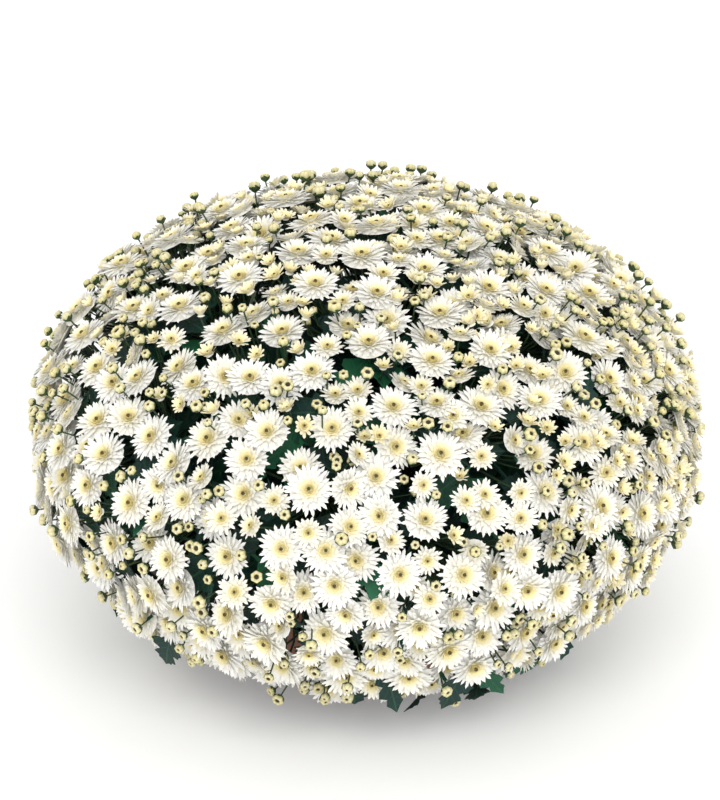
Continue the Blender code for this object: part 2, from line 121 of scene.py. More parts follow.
SEAT_GAP = 0.0004
OUTER_STEM_COUNT = 8
TOP_STEM_COUNT = 2
TOP_SPRAYS = 6
STEM_RADIUS = 0.0038
STEM_TOP_RADIUS = 0.0030
BRANCH_RADIUS = 0.0022
OUTER_FORK = (0.084, 0.190)
TOP_FORK = (0.026, 0.210)
OUTER_HOLE_CIRCLE = 0.056
TOP_HOLE_CIRCLE = 0.018
STEM_STEPS = 4
BRANCH_STEPS = 4
LEAF_COUNT = 28
LEAF_LENGTH = (0.050, 0.064)
LEAF_STALK = 0.42
LEAF_FOLD = 0.22
LEAF_DROOP = 0.20
LEAF_SHELL = (0.86, 0.985)
LOWEST_LEAF = 0.012
LEAF_TRIES = 6000
HEAD_DEPTH = 0.40
LEAF_PROBES = (
    (0.0, -0.20, 0.04), (0.0, 0.10, 0.06), (0.0, 0.38, 0.11), (0.0, 0.68, 0.10),
    (0.0, 0.96, 0.05), (0.18, 0.40, 0.10), (-0.18, 0.40, 0.10), (0.36, 0.40, 0.06),
    (-0.36, 0.40, 0.06), (0.20, 0.66, 0.08), (-0.20, 0.66, 0.08),
)
SOIL_LEVEL = 0.130
SOIL_GAP = 0.0004
SOIL_DIP = 0.003
SOIL_CRUMB = 0.0026
SOIL_RINGS = 14
SOIL_SIDES = 48
HOLE_DEPTH = 0.028
POT_HEIGHT = 0.145
POT_FOOT_RADIUS = 0.0690
POT_RIM_RADIUS = 0.0950
POT_WALL = 0.0024
COLLAR_STEP = 0.0030
COLLAR_HEIGHT = 0.020
FOOT_RECESS = 0.004
FOOT_RING_WIDTH = 0.008
DRAIN_CIRCLE = 0.040
DRAIN_HOLE_RADIUS = 0.006
DRAIN_HOLE_COUNT = 4

GOLDEN_ANGLE = math.pi * (3 - math.sqrt(5))
UP = Vector((0, 0, 1))

# Flowers, buds and leaves between those of the solids

SPOTS_TRIED = 14
WIDER_FACING_JITTER = 0.42
LARGE_RADIUS = (0.0172, 0.0206)
MEDIUM_RADIUS = (0.0120, 0.0158)
HALF_OPEN_RADIUS = (0.0086, 0.0120)
SMALL_BUD_RADIUS = (0.0038, 0.0055)
SMALL_BUD_SHELL = (0.985, 1.035)
LARGEST_CLUSTER = 4
CLUSTER_SPREAD = 0.010
BUD_SPACING = 1.05
OPEN_FLOWER_SHARE = 0.72
BOX_MARGIN = 0.0008
HEAD_SEAT = 0.28
BUD_SEAT = 0.85
BRACTED_SHARE = 0.6
BRACT_LENGTH = (0.010, 0.017)
LEAF_TURNS_TRIED = 80
FLOWER_HEART_SHARE = 0.85
LEAF_SHELL_AMONG_STALKS = (0.80, 0.965)
INNER_LEAF_SHELL = (0.55, 0.88)
YOUNG_LEAF_CHANCE = 0.93
YOUNG_LEAF_LENGTH = (0.020, 0.034)
YOUNG_LEAF_SHELL = (0.965, 1.025)
LOW_SPRAY_TILT = -0.20
LOW_SPRAY_LEAVES = 2.2
LOW_LEAF_CHANCE = 0.62
LOW_LEAF_LENGTH = (0.026, 0.042)
LOW_LEAF_SHELL = (1.0, 1.12)
LOW_EDGE = 0.042
HIGHEST = 1.0

# Colours beside those that can be changed

PETAL_FOOT = (0.62, 0.60, 0.30)
BUD_FOOT = (0.38, 0.42, 0.12)
FRESH_BUD = (0.84, 0.80, 0.58)
# Painted shade: the furrows between a bud's rolled petals are coloured darker
BUD_FURROW_SHADE = (0.50, 0.41, 0.13)
EYE_SIDE = (0.22, 0.165, 0.04)
YOUNG_LEAF = (0.016, 0.150, 0.062)
LEAF_VEIN = (0.05, 0.16, 0.08)
STALK_BROWN = (0.08, 0.065, 0.03)
LIME_BLOOM = (0.52, 0.44, 0.38)
PEAT_FIBRE = (0.12, 0.075, 0.04)

# The shapes that a growing point can carry, in the order of the shapes collection
LARGE, MEDIUM, HALF_OPEN, BUD, LEAF, BRACT = 0, 5, 8, 11, 14, 17
VARIANTS = {LARGE: 5, MEDIUM: 3, HALF_OPEN: 3, BUD: 3, LEAF: 3, BRACT: 1}
HEAD_HEIGHT = {LARGE: 0.45, MEDIUM: 0.6, HALF_OPEN: 0.9, BUD: 1.0}


@dataclass
class Flower:
    at: Vector
    facing: Vector
    radius: float
    spray: int
    kind: int = LARGE


@dataclass
class Spray:
    hub: Vector
    axis: Vector


@dataclass
class Stem:
    name: str
    hole: Vector
    fork: Vector
    sprays: list


# Sizes and colours that can be changed


def count_of(label, note, default, low=0, high=2000):
    return IntProperty(name=label, description=note, default=default, min=low, max=high)


def length_of(label, note, default):
    return FloatProperty(name=label, description=note, default=default, unit="LENGTH")


def colour_of(label, note, *default):
    return FloatVectorProperty(name=label, description=note, default=default, subtype="COLOR")


class FlowerSettings(bpy.types.PropertyGroup):
    head_scale: FloatProperty(
        name="Head Scale",
        description="Size of the large blooms against the heads of the solids",
        default=0.81,
        min=0.5,
        max=1.0,
        subtype="FACTOR",
    )
    large_petals: count_of("Large Bloom Petals", "Petals of a fully open bloom", 88, 20, 120)
    medium_petals: count_of("Medium Bloom Petals", "Petals of a younger bloom", 52, 20, 90)
    half_open_petals: count_of("Half-Open Petals", "Petals of a half-open flower", 30, 12, 60)
    more_large: count_of("More Large Blooms", "Large blooms beside those of the solids", 265)
    medium_count: count_of("Medium Blooms", "Younger blooms between the large ones", 300)
    half_open_count: count_of("Half-Open Flowers", "Half-open flowers in the gaps", 290)
    bud_count: count_of("Buds", "Round buds beside those of the solids", 600)


class FoliageSettings(bpy.types.PropertyGroup):
    leaf_count: count_of("Small Leaves", "Leaves on the stalks of the flowers", 440)
    inner_leaf_count: count_of("Inner Leaves", "Large leaves deep in the ball", 270)
    inner_leaf: length_of("Longest Inner Leaf", "Length of the largest inner blade", 0.076)
    shortest_leaf: length_of("Shortest Leaf", "Length of the smallest blade", 0.036)
    longest_leaf: length_of("Longest Leaf", "Length of the largest small blade", 0.058)
    stalk_radius: length_of("Stalk Radius", "Radius of a flower's stalk", 0.0010)


class ColourSettings(bpy.types.PropertyGroup):
    petal_white: colour_of("Petal White", "Open petals", 0.93, 0.925, 0.90)
    heart_cream: colour_of("Heart Cream", "Young petals at the heart", 0.92, 0.82, 0.44)
    bud_cream: colour_of("Bud Cream", "Petals of the buds", 0.82, 0.74, 0.40)
    eye_olive: colour_of("Eye Olive", "Pit in the middle of a flower", 0.034, 0.029, 0.009)
    leaf_green: colour_of("Leaf Green", "Leaf blades", 0.011, 0.037, 0.030)
    stalk_green: colour_of("Stalk Green", "Stalks, bracts and stems", 0.035, 0.075, 0.026)
    pot_terracotta: colour_of("Pot Terracotta", "Moulded plastic of the pot", 0.30, 0.105, 0.055)
    soil_brown: colour_of("Soil Brown", "Damp potting soil", 0.035, 0.022, 0.014)
    floor_white: colour_of("Floor White", "Studio floor", 0.88, 0.88, 0.875)


# Where everything grows: the flowers, stalks and stems of the solids


def dome_area_above(sine):
    """Area of the dome above this sine of latitude, in units of 2 pi DOME_RADIUS."""
    flatness = math.sqrt(DOME_RADIUS**2 - DOME_HALF_HEIGHT**2)

    def up_to(value):
        slant = math.hypot(DOME_HALF_HEIGHT, flatness * value)
        bend = math.asinh(value * flatness / DOME_HALF_HEIGHT)
        return value * slant / 2 + DOME_HALF_HEIGHT**2 / (2 * flatness) * bend

    return up_to(1.0) - up_to(sine)


def sine_at(share):
    """Sine of the latitude that this share of the flowering area lies above."""
    wanted = share * dome_area_above(LOWEST_SINE)
    low, high = LOWEST_SINE, 1.0
    for _ in range(30):
        middle = (low + high) / 2
        if dome_area_above(middle) > wanted:
            low = middle
        else:
            high = middle
    return (low + high) / 2


def polar(radius, azimuth, height=0.0):
    return Vector((radius * math.cos(azimuth), radius * math.sin(azimuth), height))


def dome_point(azimuth, sine):
    across = DOME_RADIUS * math.sqrt(max(0.0, 1 - sine * sine))
    return DOME_CENTRE + polar(across, azimuth, DOME_HALF_HEIGHT * sine)


def dome_spot(draw):
    return dome_point(draw.uniform(0, 2 * math.pi), sine_at(draw.random()))


@cache
def pockets():
    """Middle and radius of each dark gap between the flowers."""
    return [
        (dome_point(math.radians(azimuth), math.sin(math.radians(latitude))), reach)
        for azimuth, latitude, reach in POCKETS
    ]


def dome_normal(point):
    offset = point - DOME_CENTRE
    flat, tall = DOME_RADIUS**2, DOME_HALF_HEIGHT**2
    return Vector((offset.x / flat, offset.y / flat, offset.z / tall)).normalized()


def shell_scale(point):
    """1 on the dome, and less inside it."""
    offset = point - DOME_CENTRE
    return math.hypot(offset.x / DOME_RADIUS, offset.y / DOME_RADIUS, offset.z / DOME_HALF_HEIGHT)


def random_offset(draw, size):
    return Vector([draw.uniform(-size, size) for _ in range(3)])


def flower_facing(point, draw):
    """Which way a flower looks: out of the dome, turned a little to the light, never far down."""
    facing = dome_normal(point) + UP * UPWARD_TURN + random_offset(draw, FACING_JITTER)
    facing.normalize()
    facing.z = max(facing.z, LOWEST_FACING)
    return facing.normalized()


def thrown_spots(draw):
    """Spots and radii of the blooms, thrown onto the dome where they find most of their room."""
    spots, radii = [], []
    while len(spots) < BLOOM_COUNT:
        spot, radius = dome_spot(draw), draw.uniform(*BLOOM_RADIUS)
        others = zip(spots, radii)
        if all((spot - other).length > FIRST_SPACING * (radius + reach) for other, reach in others):
            spots.append(spot)
            radii.append(radius)
    return spots, radii


def pushed_apart(spots, radii, scales):
    """The spots after neighbours and pockets have pushed each other apart along the dome."""
    axes = np.array((DOME_RADIUS, DOME_RADIUS, DOME_HALF_HEIGHT))
    fixed, gaps = zip(*pockets())
    at = np.array([spot - DOME_CENTRE for spot in (*spots, *fixed)])
    reach = np.array([*radii, *gaps])
    scale = np.array([*scales, *(1.0 for _ in gaps)])
    needed = reach[:, None] + reach[None, :] + BLOOM_GAP
    np.fill_diagonal(needed, 0.0)
    moving = len(spots)
    for _ in range(RELAX_STEPS):
        offset = at[:, None, :] - at[None, :, :]
        distance = np.linalg.norm(offset, axis=2) + np.eye(len(at))
        push = np.clip(needed - distance, 0.0, None) * PUSH_SHARE / distance
        at[:moving] += (offset * push[:, :, None]).sum(axis=1)[:moving]
        unit = at / axes
        unit /= np.linalg.norm(unit, axis=1, keepdims=True)
        sine = np.clip(unit[:, 2], LOWEST_SINE, 1.0)
        across = np.sqrt(1 - sine**2) / np.maximum(np.hypot(unit[:, 0], unit[:, 1]), 1e-9)
        unit = np.column_stack((unit[:, 0] * across, unit[:, 1] * across, sine))
        at = unit * axes * scale[:, None]
    return [DOME_CENTRE + Vector(point) for point in at[:moving].tolist()]


def spray_centres():
    """Spray centres spread evenly over the dome on a golden spiral."""
    shares = [(index + 0.5) / SPRAY_COUNT for index in range(SPRAY_COUNT)]
    return [dome_point(index * GOLDEN_ANGLE, sine_at(share)) for index, share in enumerate(shares)]


def nearest_spray(point, centres):
    return min(range(len(centres)), key=lambda index: (centres[index] - point).length_squared)


def place_blooms(centres, draw):
    spots, radii = thrown_spots(draw)
    scales = [draw.uniform(*SHELL_SCALE) for _ in spots]
    blooms = [
        Flower(spot, flower_facing(spot, draw), radius, nearest_spray(spot, centres))
        for spot, radius in zip(pushed_apart(spots, radii, scales), radii)
    ]
    for first, second in combinations(blooms, 2):
        excess = first.radius + second.radius + BLOOM_GAP - (first.at - second.at).length
        if excess > 0 and first.spray != second.spray:
            first.radius -= excess / 2
            second.radius -= excess / 2
    return blooms


def place_buds(centres, blooms, draw):
    """One bud a spray, in the widest gap found there and a little proud of the blooms."""
    lowest = DOME_CENTRE.z + LOWEST_SINE * DOME_HALF_HEIGHT
    buds = []
    for index, centre in enumerate(centres):
        tries = []
        while len(tries) < BUD_TRIES:
            spot = centre + random_offset(draw, BUD_SPREAD)
            spot = DOME_CENTRE + (spot - DOME_CENTRE) / shell_scale(spot)
            if nearest_spray(spot, centres) == index and spot.z > lowest:
                tries.append(spot)
        spot = max(tries, key=lambda spot: room_at(spot, blooms))
        spot += dome_normal(spot) * draw.uniform(*BUD_LIFT)
        buds.append(Flower(spot, flower_facing(spot, draw), draw.uniform(*BUD_RADIUS), index, BUD))
    return buds


def room_at(spot, blooms):
    return min((spot - bloom.at).length - bloom.radius for bloom in blooms)


def place_hubs(blooms):
    """The hub of each spray, deep inside the dome under the middle of its blooms."""
    sprays = []
    for index in range(SPRAY_COUNT):
        own = [bloom.at for bloom in blooms if bloom.spray == index]
        middle = sum(own, Vector()) / len(own)
        axis = dome_normal(middle)
        sprays.append(Spray(middle - axis * HUB_DEPTH, axis))
    return sprays


def stalk_root(spray):
    """Where a spray's stalks meet, low in its hub."""
    return spray.hub - spray.axis * 0.36 * HUB_LENGTH


def plan_stems(sprays):
    """Two stems in the middle carry the top sprays, and the rest share the others by azimuth."""
    by_height = sorted(range(len(sprays)), key=lambda index: -sprays[index].hub.z)
    stems = []
    for indices, count, fork, circle in (
        (by_height[:TOP_SPRAYS], TOP_STEM_COUNT, TOP_FORK, TOP_HOLE_CIRCLE),
        (by_height[TOP_SPRAYS:], OUTER_STEM_COUNT, OUTER_FORK, OUTER_HOLE_CIRCLE),
    ):
        indices.sort(key=lambda index: math.atan2(sprays[index].hub.y, sprays[index].hub.x))
        bounds = [round(len(indices) * step / count) for step in range(count + 1)]
        for first, last in zip(bounds, bounds[1:]):
            own = indices[first:last]
            middle = sum((sprays[index].hub for index in own), Vector())
            out = Vector((middle.x, middle.y, 0)).normalized()
            foot = out * circle + UP * (SOIL_LEVEL - HOLE_DEPTH + SOIL_GAP)
            name = f"leafy_stem_{len(stems) + 1:02d}"
            stems.append(Stem(name, foot, out * fork[0] + UP * fork[1], own))
    return stems


def stem_path(stem):
    """Straight up out of the soil, then leaning over to the fork."""
    collar = Vector((stem.hole.x, stem.hole.y, SOIL_LEVEL + 0.004))
    lean = (stem.fork - collar).length / 2
    arriving = (UP + outward(stem) * 0.8).normalized()
    curve = interpolate_bezier(
        collar, collar + UP * lean, stem.fork - arriving * lean * 0.8, stem.fork, STEM_STEPS
    )
    return [stem.hole, *curve]


def outward(stem):
    return Vector((stem.fork.x, stem.fork.y, 0)).normalized()


def branch_path(stem, start, spray):
    """From the stem's fork in an arch that comes in along the spray's axis."""
    foot = spray.hub - spray.axis * (HUB_LENGTH / 2 + SEAT_GAP)
    reach = (foot - start).length
    leaving = (UP * 0.6 + outward(stem) * 0.4 + (foot - start) / reach * 1.3).normalized()
    return interpolate_bezier(
        start,
        start + leaving * reach * 0.30,
        foot - spray.axis * reach * 0.36,
        foot,
        BRANCH_STEPS + 1,
    )


def leaf_point(x, y):
    """A point of a leaf in leaf lengths: folded up along the midrib, and hanging at the tip."""
    return Vector((x, y, LEAF_FOLD * abs(x) - LEAF_DROOP * max(y, 0) ** 2))


def leaf_frame(base, direction, roll, length):
    """Frame of a leaf whose stalk starts at the base, with its length along the direction."""
    turn = direction.to_track_quat("Y", "Z").to_matrix().to_4x4() @ Matrix.Rotation(roll, 4, "Y")
    blade = Matrix.Translation((0, LEAF_STALK, 0))
    return Matrix.Translation(base) @ turn @ Matrix.Scale(length, 4) @ blade


def clears(points, margins, limbs, heads):
    """Whether balls of these margins at the points touch no stalk, branch, leaf or flower head."""
    starts, ends, thickness = limbs
    run = ends - starts
    offset = points[:, None] - starts[None]
    share = np.clip((offset * run).sum(axis=2) / (run * run).sum(axis=1), 0, 1)
    gap = np.linalg.norm(offset - share[:, :, None] * run, axis=2) - thickness
    if (gap < margins[:, None]).any():
        return False
    centres, facings, radii = heads
    offset = points[:, None] - centres[None]
    along = (offset * facings).sum(axis=2)
    across = (offset * offset).sum(axis=2) - along**2
    reach, depth = radii + margins[:, None], HEAD_DEPTH * radii + margins[:, None]
    return bool((across / reach**2 + along**2 / depth**2 > 1).all())


def grow_leaves(paths, limbs, heads, draw):
    """Leaves from the branches, turned until they near the flowers and touch nothing."""
    probes = np.array([(*leaf_point(x, y), 1) for x, y, _ in LEAF_PROBES])
    margins = np.array([margin for _, _, margin in LEAF_PROBES])
    leaves = []
    for _ in range(LEAF_TRIES):
        if len(leaves) == LEAF_COUNT:
            break
        stem_name, path = draw.choice(paths)
        step = draw.randrange(1, len(path) - 1)
        base = path[step].lerp(path[step + 1], draw.uniform(0.2, 0.8))
        length = draw.uniform(*LEAF_LENGTH)
        direction = (dome_normal(base) + random_offset(draw, 0.8)).normalized()
        place = leaf_frame(base, direction, draw.uniform(0, 2 * math.pi), length)
        tip = place @ leaf_point(0, 1)
        if tip.z < LOWEST_LEAF or not LEAF_SHELL[0] < shell_scale(tip) < LEAF_SHELL[1]:
            continue
        points = (probes @ np.array(place).T)[:, :3]
        if clears(points, margins * length, limbs, heads):
            leaves.append((stem_name, length, place))
            starts, ends = np.vstack((limbs[0], points)), np.vstack((limbs[1], points + 1e-5))
            limbs = (starts, ends, np.append(limbs[2], margins * length))
    return leaves


def limbs_of(flowers, sprays, lines):
    """Stalks and the lines of trunks and branches, as arrays of starts, ends and thickness."""
    stalks = [(stalk_root(sprays[flower.spray]), flower.at, CALYX_RADIUS) for flower in flowers]
    wood = [(*pair, STEM_RADIUS) for line in lines for pair in zip(line, line[1:])]
    return tuple(np.array(column) for column in zip(*stalks, *wood))


def heads_of(flowers):
    columns = zip(*((flower.at, flower.facing, flower.radius) for flower in flowers))
    return tuple(np.array(column) for column in columns)


# Where everything grows: the flowers and buds between those of the solids


def view_side(point):
    """Right, up and towards the viewer, each from -1 to 1, for a point on the dome."""
    offset = point - DOME_CENTRE
    return Vector((offset.x / DOME_RADIUS, offset.z / DOME_HALF_HEIGHT, -offset.y / DOME_RADIUS))


def flower_share(point):
    """How readily a further bloom opens here: least at the right in front and near the top."""
    side = view_side(point)
    right_front = math.exp(-((side.x - 0.60) ** 2 + (side.y - 0.30) ** 2) / 0.16) * max(side.z, 0)
    return 1.0 - 0.40 * right_front - 0.20 * max(side.y - 0.35, 0)


def young_share(point):
    """How readily a younger bloom opens here: most at the right."""
    return 0.78 + 0.22 * view_side(point).x


def bud_share(point):
    """How readily buds and half-open flowers stand here: most at the top and the right."""
    side = view_side(point)
    share = 0.42 + 0.40 * max(side.y, 0) + 0.55 * max(side.x, 0) + 0.50 * min(side.y + 0.35, 0)
    return min(1.0, share)


def pocket_room(point):
    """Distance to the edge of the nearest dark gap, negative inside it."""
    return min((point - middle).length - reach for middle, reach in pockets())


def balls_of(flowers):
    """Middles and radii of these flowers, as arrays."""
    return tuple(np.array(column) for column in zip(*((ball.at, ball.radius) for ball in flowers)))


def fit_in_box(flower):
    """Moves a flower in until its petals and its height stay inside the box of the solids."""
    low, high = SOLID_BOX
    height = HEAD_HEIGHT[flower.kind]
    for axis in range(3):
        side = abs(flower.facing[axis])
        reach = flower.radius * math.sqrt(max(0.0, 1 - side * side))
        rise = height * flower.radius * side
        above = reach + (rise if flower.facing[axis] > 0 else 0)
        below = reach + (rise if flower.facing[axis] < 0 else 0)
        flower.at[axis] = min(flower.at[axis], high[axis] - above - BOX_MARGIN)
        flower.at[axis] = max(flower.at[axis], low[axis] + below + BOX_MARGIN)


def more_flowers(kind, count, radii, spacing, scales, share, flowers, centres, draw):
    """Further flowers of one kind, each in the roomiest of a few spots that keeps its spacing."""
    spots, reach = balls_of(flowers)
    more = []
    for _ in range(count):
        best_room, best = spacing, None
        for _ in range(SPOTS_TRIED):
            spot, radius = dome_spot(draw), draw.uniform(*radii)
            if pocket_room(spot) < -0.10 * radius:
                continue
            welcome = share(spot)
            spot = DOME_CENTRE + (spot - DOME_CENTRE) * draw.uniform(*scales)
            distance = np.linalg.norm(spots - np.array(spot), axis=1)
            room = (distance / (reach + radius)).min() * welcome
            if room > best_room:
                best_room, best = room, (spot, radius)
        if best:
            spot, radius = best
            facing = flower_facing(spot, draw) + random_offset(draw, WIDER_FACING_JITTER)
            facing.normalize()
            more.append(Flower(spot, facing, radius, nearest_spray(spot, centres), kind))
            spots, reach = np.vstack((spots, spot)), np.append(reach, radius)
    return more


def more_buds(count, flowers, centres, draw):
    """Buds in little clusters, clear of each other and mostly of the open flowers."""
    spots, reach = balls_of(flowers)
    reach *= [OPEN_FLOWER_SHARE if flower.kind < BUD else 1.0 for flower in flowers]
    more = []
    for _ in range(20 * count):
        if len(more) >= count:
            break
        middle = dome_spot(draw)
        if draw.random() > bud_share(middle):
            continue
        for _ in range(draw.randint(1, LARGEST_CLUSTER)):
            spot = DOME_CENTRE + (middle - DOME_CENTRE) * draw.uniform(*SMALL_BUD_SHELL)
            spot += random_offset(draw, CLUSTER_SPREAD)
            radius = draw.uniform(*SMALL_BUD_RADIUS)
            distance = np.linalg.norm(spots - np.array(spot), axis=1)
            if (distance < BUD_SPACING * (reach + radius)).any():
                continue
            facing = flower_facing(spot, draw)
            more.append(Flower(spot, facing, radius, nearest_spray(spot, centres), BUD))
            spots, reach = np.vstack((spots, spot)), np.append(reach, radius)
    return more


@cache
def plant():
    """The whole plan: all flowers, sprays, stems and the leaves of the solids."""
    sizes = bpy.context.scene.chrysanthemum_flowers
    draw = random.Random(RANDOM_SEED)
    centres = spray_centres()
    blooms = place_blooms(centres, draw)
    buds = place_buds(centres, blooms, draw)
    sprays = place_hubs(blooms)
    stems = plan_stems(sprays)
    paths = []
    for stem in stems:
        trunk = stem_path(stem)
        for rank, index in enumerate(sorted(stem.sprays, key=lambda index: sprays[index].hub.z)):
            start = trunk[-1].lerp(trunk[-2], 0.15 + 0.27 * rank)
            paths.append((stem.name, branch_path(stem, start, sprays[index])))
    lines = [path for _, path in paths] + [stem_path(stem) for stem in stems]
    limbs, heads = limbs_of(blooms + buds, sprays, lines), heads_of(blooms + buds)
    leaves = grow_leaves(paths, limbs, heads, random.Random(RANDOM_SEED + 5))

    for bloom in blooms:
        bloom.radius *= sizes.head_scale
    draw = random.Random(RANDOM_SEED + 20)
    flowers = blooms + buds
    for kind, count, radii, spacing, scales, share in (
        (LARGE, sizes.more_large, LARGE_RADIUS, 0.38, (0.945, 1.0), flower_share),
        (MEDIUM, sizes.medium_count, MEDIUM_RADIUS, 0.36, (0.965, 1.02), young_share),
        (HALF_OPEN, sizes.half_open_count, HALF_OPEN_RADIUS, 0.28, (0.985, 1.03), bud_share),
    ):
        flowers += more_flowers(kind, count, radii, spacing, scales, share, flowers, centres, draw)
    flowers += more_buds(sizes.bud_count, flowers, centres, draw)
    for flower in flowers:
        fit_in_box(flower)
    return flowers, sprays, stems, paths, leaves


# Forms


def smoothed(mesh, sharpest):
    """Shades the mesh smooth, but for edges sharper than this angle in degrees."""
    mesh.shade_smooth()
    mesh.set_sharp_from_angle(angle=math.radians(sharpest))


def new_mesh_object(name, shape, finish=None, collection=None):
    bmesh.ops.recalc_face_normals(shape, faces=shape.faces[:])
    mesh = bpy.data.meshes.new(name)
    shape.to_mesh(mesh)
    shape.free()
    smoothed(mesh, 75)
    if finish:
        mesh.materials.append(finish)
    obj = bpy.data.objects.new(name, mesh)
    (collection or bpy.context.scene.collection).objects.link(obj)
    return obj


def new_collection(name):
    collection = bpy.data.collections.new(name)
    bpy.context.scene.collection.children.link(collection)
    return collection


def drop_collection(collection):
    for obj in list(collection.objects):
        bpy.data.objects.remove(obj)
    bpy.data.collections.remove(collection)


def evaluated_mesh(obj):
    """The mesh that the object's modifiers make."""
    return bpy.data.meshes.new_from_object(obj.evaluated_get(bpy.context.evaluated_depsgraph_get()))


def store_numbers(mesh, name, values):
    attribute = mesh.attributes.get(name) or mesh.attributes.new(name, "FLOAT", "POINT")
    attribute.data.foreach_set("value", list(values))


def ring_of(shape, points):
    return [shape.verts.new(point) for point in points]


def fan(shape, ring, tip):
    for index in range(len(ring)):
        shape.faces.new((ring[index], ring[(index + 1) % len(ring)], tip))


def closed_form(first, rings, last):
    """A closed skin from its first point, over rings of as many points each, to its last point."""
    shape = bmesh.new()
    before, start = None, shape.verts.new(first)
    for points in rings:
        ring = ring_of(shape, points)
        if before is None:
            fan(shape, ring, start)
        else:
            for index in range(len(ring)):
                after = (index + 1) % len(ring)
                shape.faces.new((before[index], before[after], ring[after], ring[index]))
        before = ring
    fan(shape, before, shape.verts.new(last))
    return shape


def numbered(name, shape, numbers, finish=None, collection=None):
    """The object of a form in triangles, with an along and an across number on each point."""
    bmesh.ops.triangulate(shape, faces=shape.faces[:])
    made = new_mesh_object(name, shape, finish, collection)
    for label, values in zip(("along", "across"), zip(*numbers)):
        store_numbers(made.data, label, values)
    return made


# Node trees


class Value:
    """An output in a node tree, which takes part in sums as a plain number does."""

    def __init__(self, tree, socket):
        self.tree, self.socket = tree, socket

    def beside(self, name):
        """Another output of the same node."""
        return Value(self.tree, self.socket.node.outputs[name])

    def __add__(self, other):
        return self.tree.calc("ADD", self, other)

    def __sub__(self, other):
        return self.tree.calc("SUBTRACT", self, other)

    def __rsub__(self, other):
        return self.tree.calc("SUBTRACT", other, self)

    def __mul__(self, other):
        return self.tree.calc("MULTIPLY", self, other)

    def __truediv__(self, other):
        return self.tree.calc("DIVIDE", self, other)

    def __pow__(self, other):
        return self.tree.calc("POWER", self, other)

    def __gt__(self, other):
        return self.tree.calc("GREATER_THAN", self, other)

    def __abs__(self):
        return self.tree.calc("ABSOLUTE", self)


class Tree:
    """A node tree under construction."""

    def __init__(self, nodes):
        self.nodes = nodes

    def put(self, value, socket):
        """Links an output to this socket, or sets it to a plain value."""
        if isinstance(value, Value):
            self.nodes.links.new(value.socket, socket)
        elif socket.type == "RGBA":
            socket.default_value = (*value, 1.0)
        else:
            socket.default_value = value

    def add(self, kind, inputs=None, output=None, **settings):
        """The first or the named output of a new node with these inputs and settings."""
        node = self.nodes.nodes.new(kind)
        for key, value in settings.items():
            setattr(node, key, value)
        for key, value in (inputs or {}).items():
            self.put(value, next(s for s in node.inputs if s.name == key and s.enabled))
        return Value(self, next(s for s in node.outputs if s.enabled and output in (None, s.name)))

    def calc(self, operation, first, second=0.0):
        node = self.nodes.nodes.new("ShaderNodeMath")
        node.operation = operation
        self.put(first, node.inputs[0])
        self.put(second, node.inputs[1])
        return Value(self, node.outputs[0])

    def curve(self, value, *points):
        """The value read off a curve through these points, all from 0 to 1."""
        made = self.add("ShaderNodeFloatCurve", {"Value": value})
        mapping = made.socket.node.mapping
        line = mapping.curves[0].points
        line[0].location, line[-1].location = points[0], points[-1]
        for point in points[1:-1]:
            line.new(*point)
        mapping.update()
        return made

    def random(self, low, high, seed):
        values = {"Min": low, "Max": high, "Seed": seed}
        return self.add("FunctionNodeRandomValue", values, data_type="FLOAT")

    def vector(self, x, y, z):
        return self.add("ShaderNodeCombineXYZ", {"X": x, "Y": y, "Z": z})

    def stored(self, name, kind="FLOAT"):
        """What a piece under growth has stored under this name."""
        return self.add("GeometryNodeInputNamedAttribute", {"Name": name}, data_type=kind)

    def planted(self, points, shapes, which, turn, size, name, number):
        """A copy of a shape on each point, with this number stored on it under the name."""
        given = {"Collection": shapes, "Separate Children": True, "Reset Children": True}
        placed = {
            "Points": points,
            "Instance": self.add("GeometryNodeCollectionInfo", given),
            "Pick Instance": True,
            "Instance Index": which,
            "Rotation": self.add("FunctionNodeEulerToRotation", {"Euler": turn}),
            "Scale": size,
        }
        copies = self.add("GeometryNodeInstanceOnPoints", placed)
        marked = {"Geometry": copies, "Name": name, "Value": number}
        settings = {"data_type": "FLOAT", "domain": "INSTANCE"}
        copies = self.add("GeometryNodeStoreNamedAttribute", marked, **settings)
        return self.add("GeometryNodeRealizeInstances", {"Geometry": copies})

    def finished(self, geometry, finish):
        return self.add("GeometryNodeSetMaterial", {"Geometry": geometry, "Material": finish})

    def joined(self, *parts):
        both = self.add("GeometryNodeJoinGeometry")
        for part in parts:
            self.put(part, both.socket.node.inputs[0])
        return both

    def where(self):
        """The place on the piece, in metres."""
        return self.add("ShaderNodeTexCoord", output="Object")

    def noise(self, scale, detail):
        inputs = {"Vector": self.where(), "Scale": scale, "Detail": detail}
        return self.add("ShaderNodeTexNoise", inputs)

    def read(self, name):
        """The number that the piece carries under this name."""
        return self.add("ShaderNodeAttribute", output="Fac", attribute_name=name)

    def ramp(self, value, start, end):
        """0 where the value is at the start, and 1 from the end on."""
        return self.add("ShaderNodeMapRange", {"Value": value, "From Min": start, "From Max": end})

    def mix(self, factor, first, second):
        """The first colour where the factor is 0 and the second where it is 1."""
        inputs = {"Factor": factor, "A": first, "B": second}
        return self.add("ShaderNodeMix", inputs, data_type="RGBA")

    def ribs(self, count):
        return self.add("ShaderNodeGroup", {"Ribs": count}, node_tree=rib_group())


NUMBER_SOCKETS = {int: "NodeSocketInt", float: "NodeSocketFloat"}


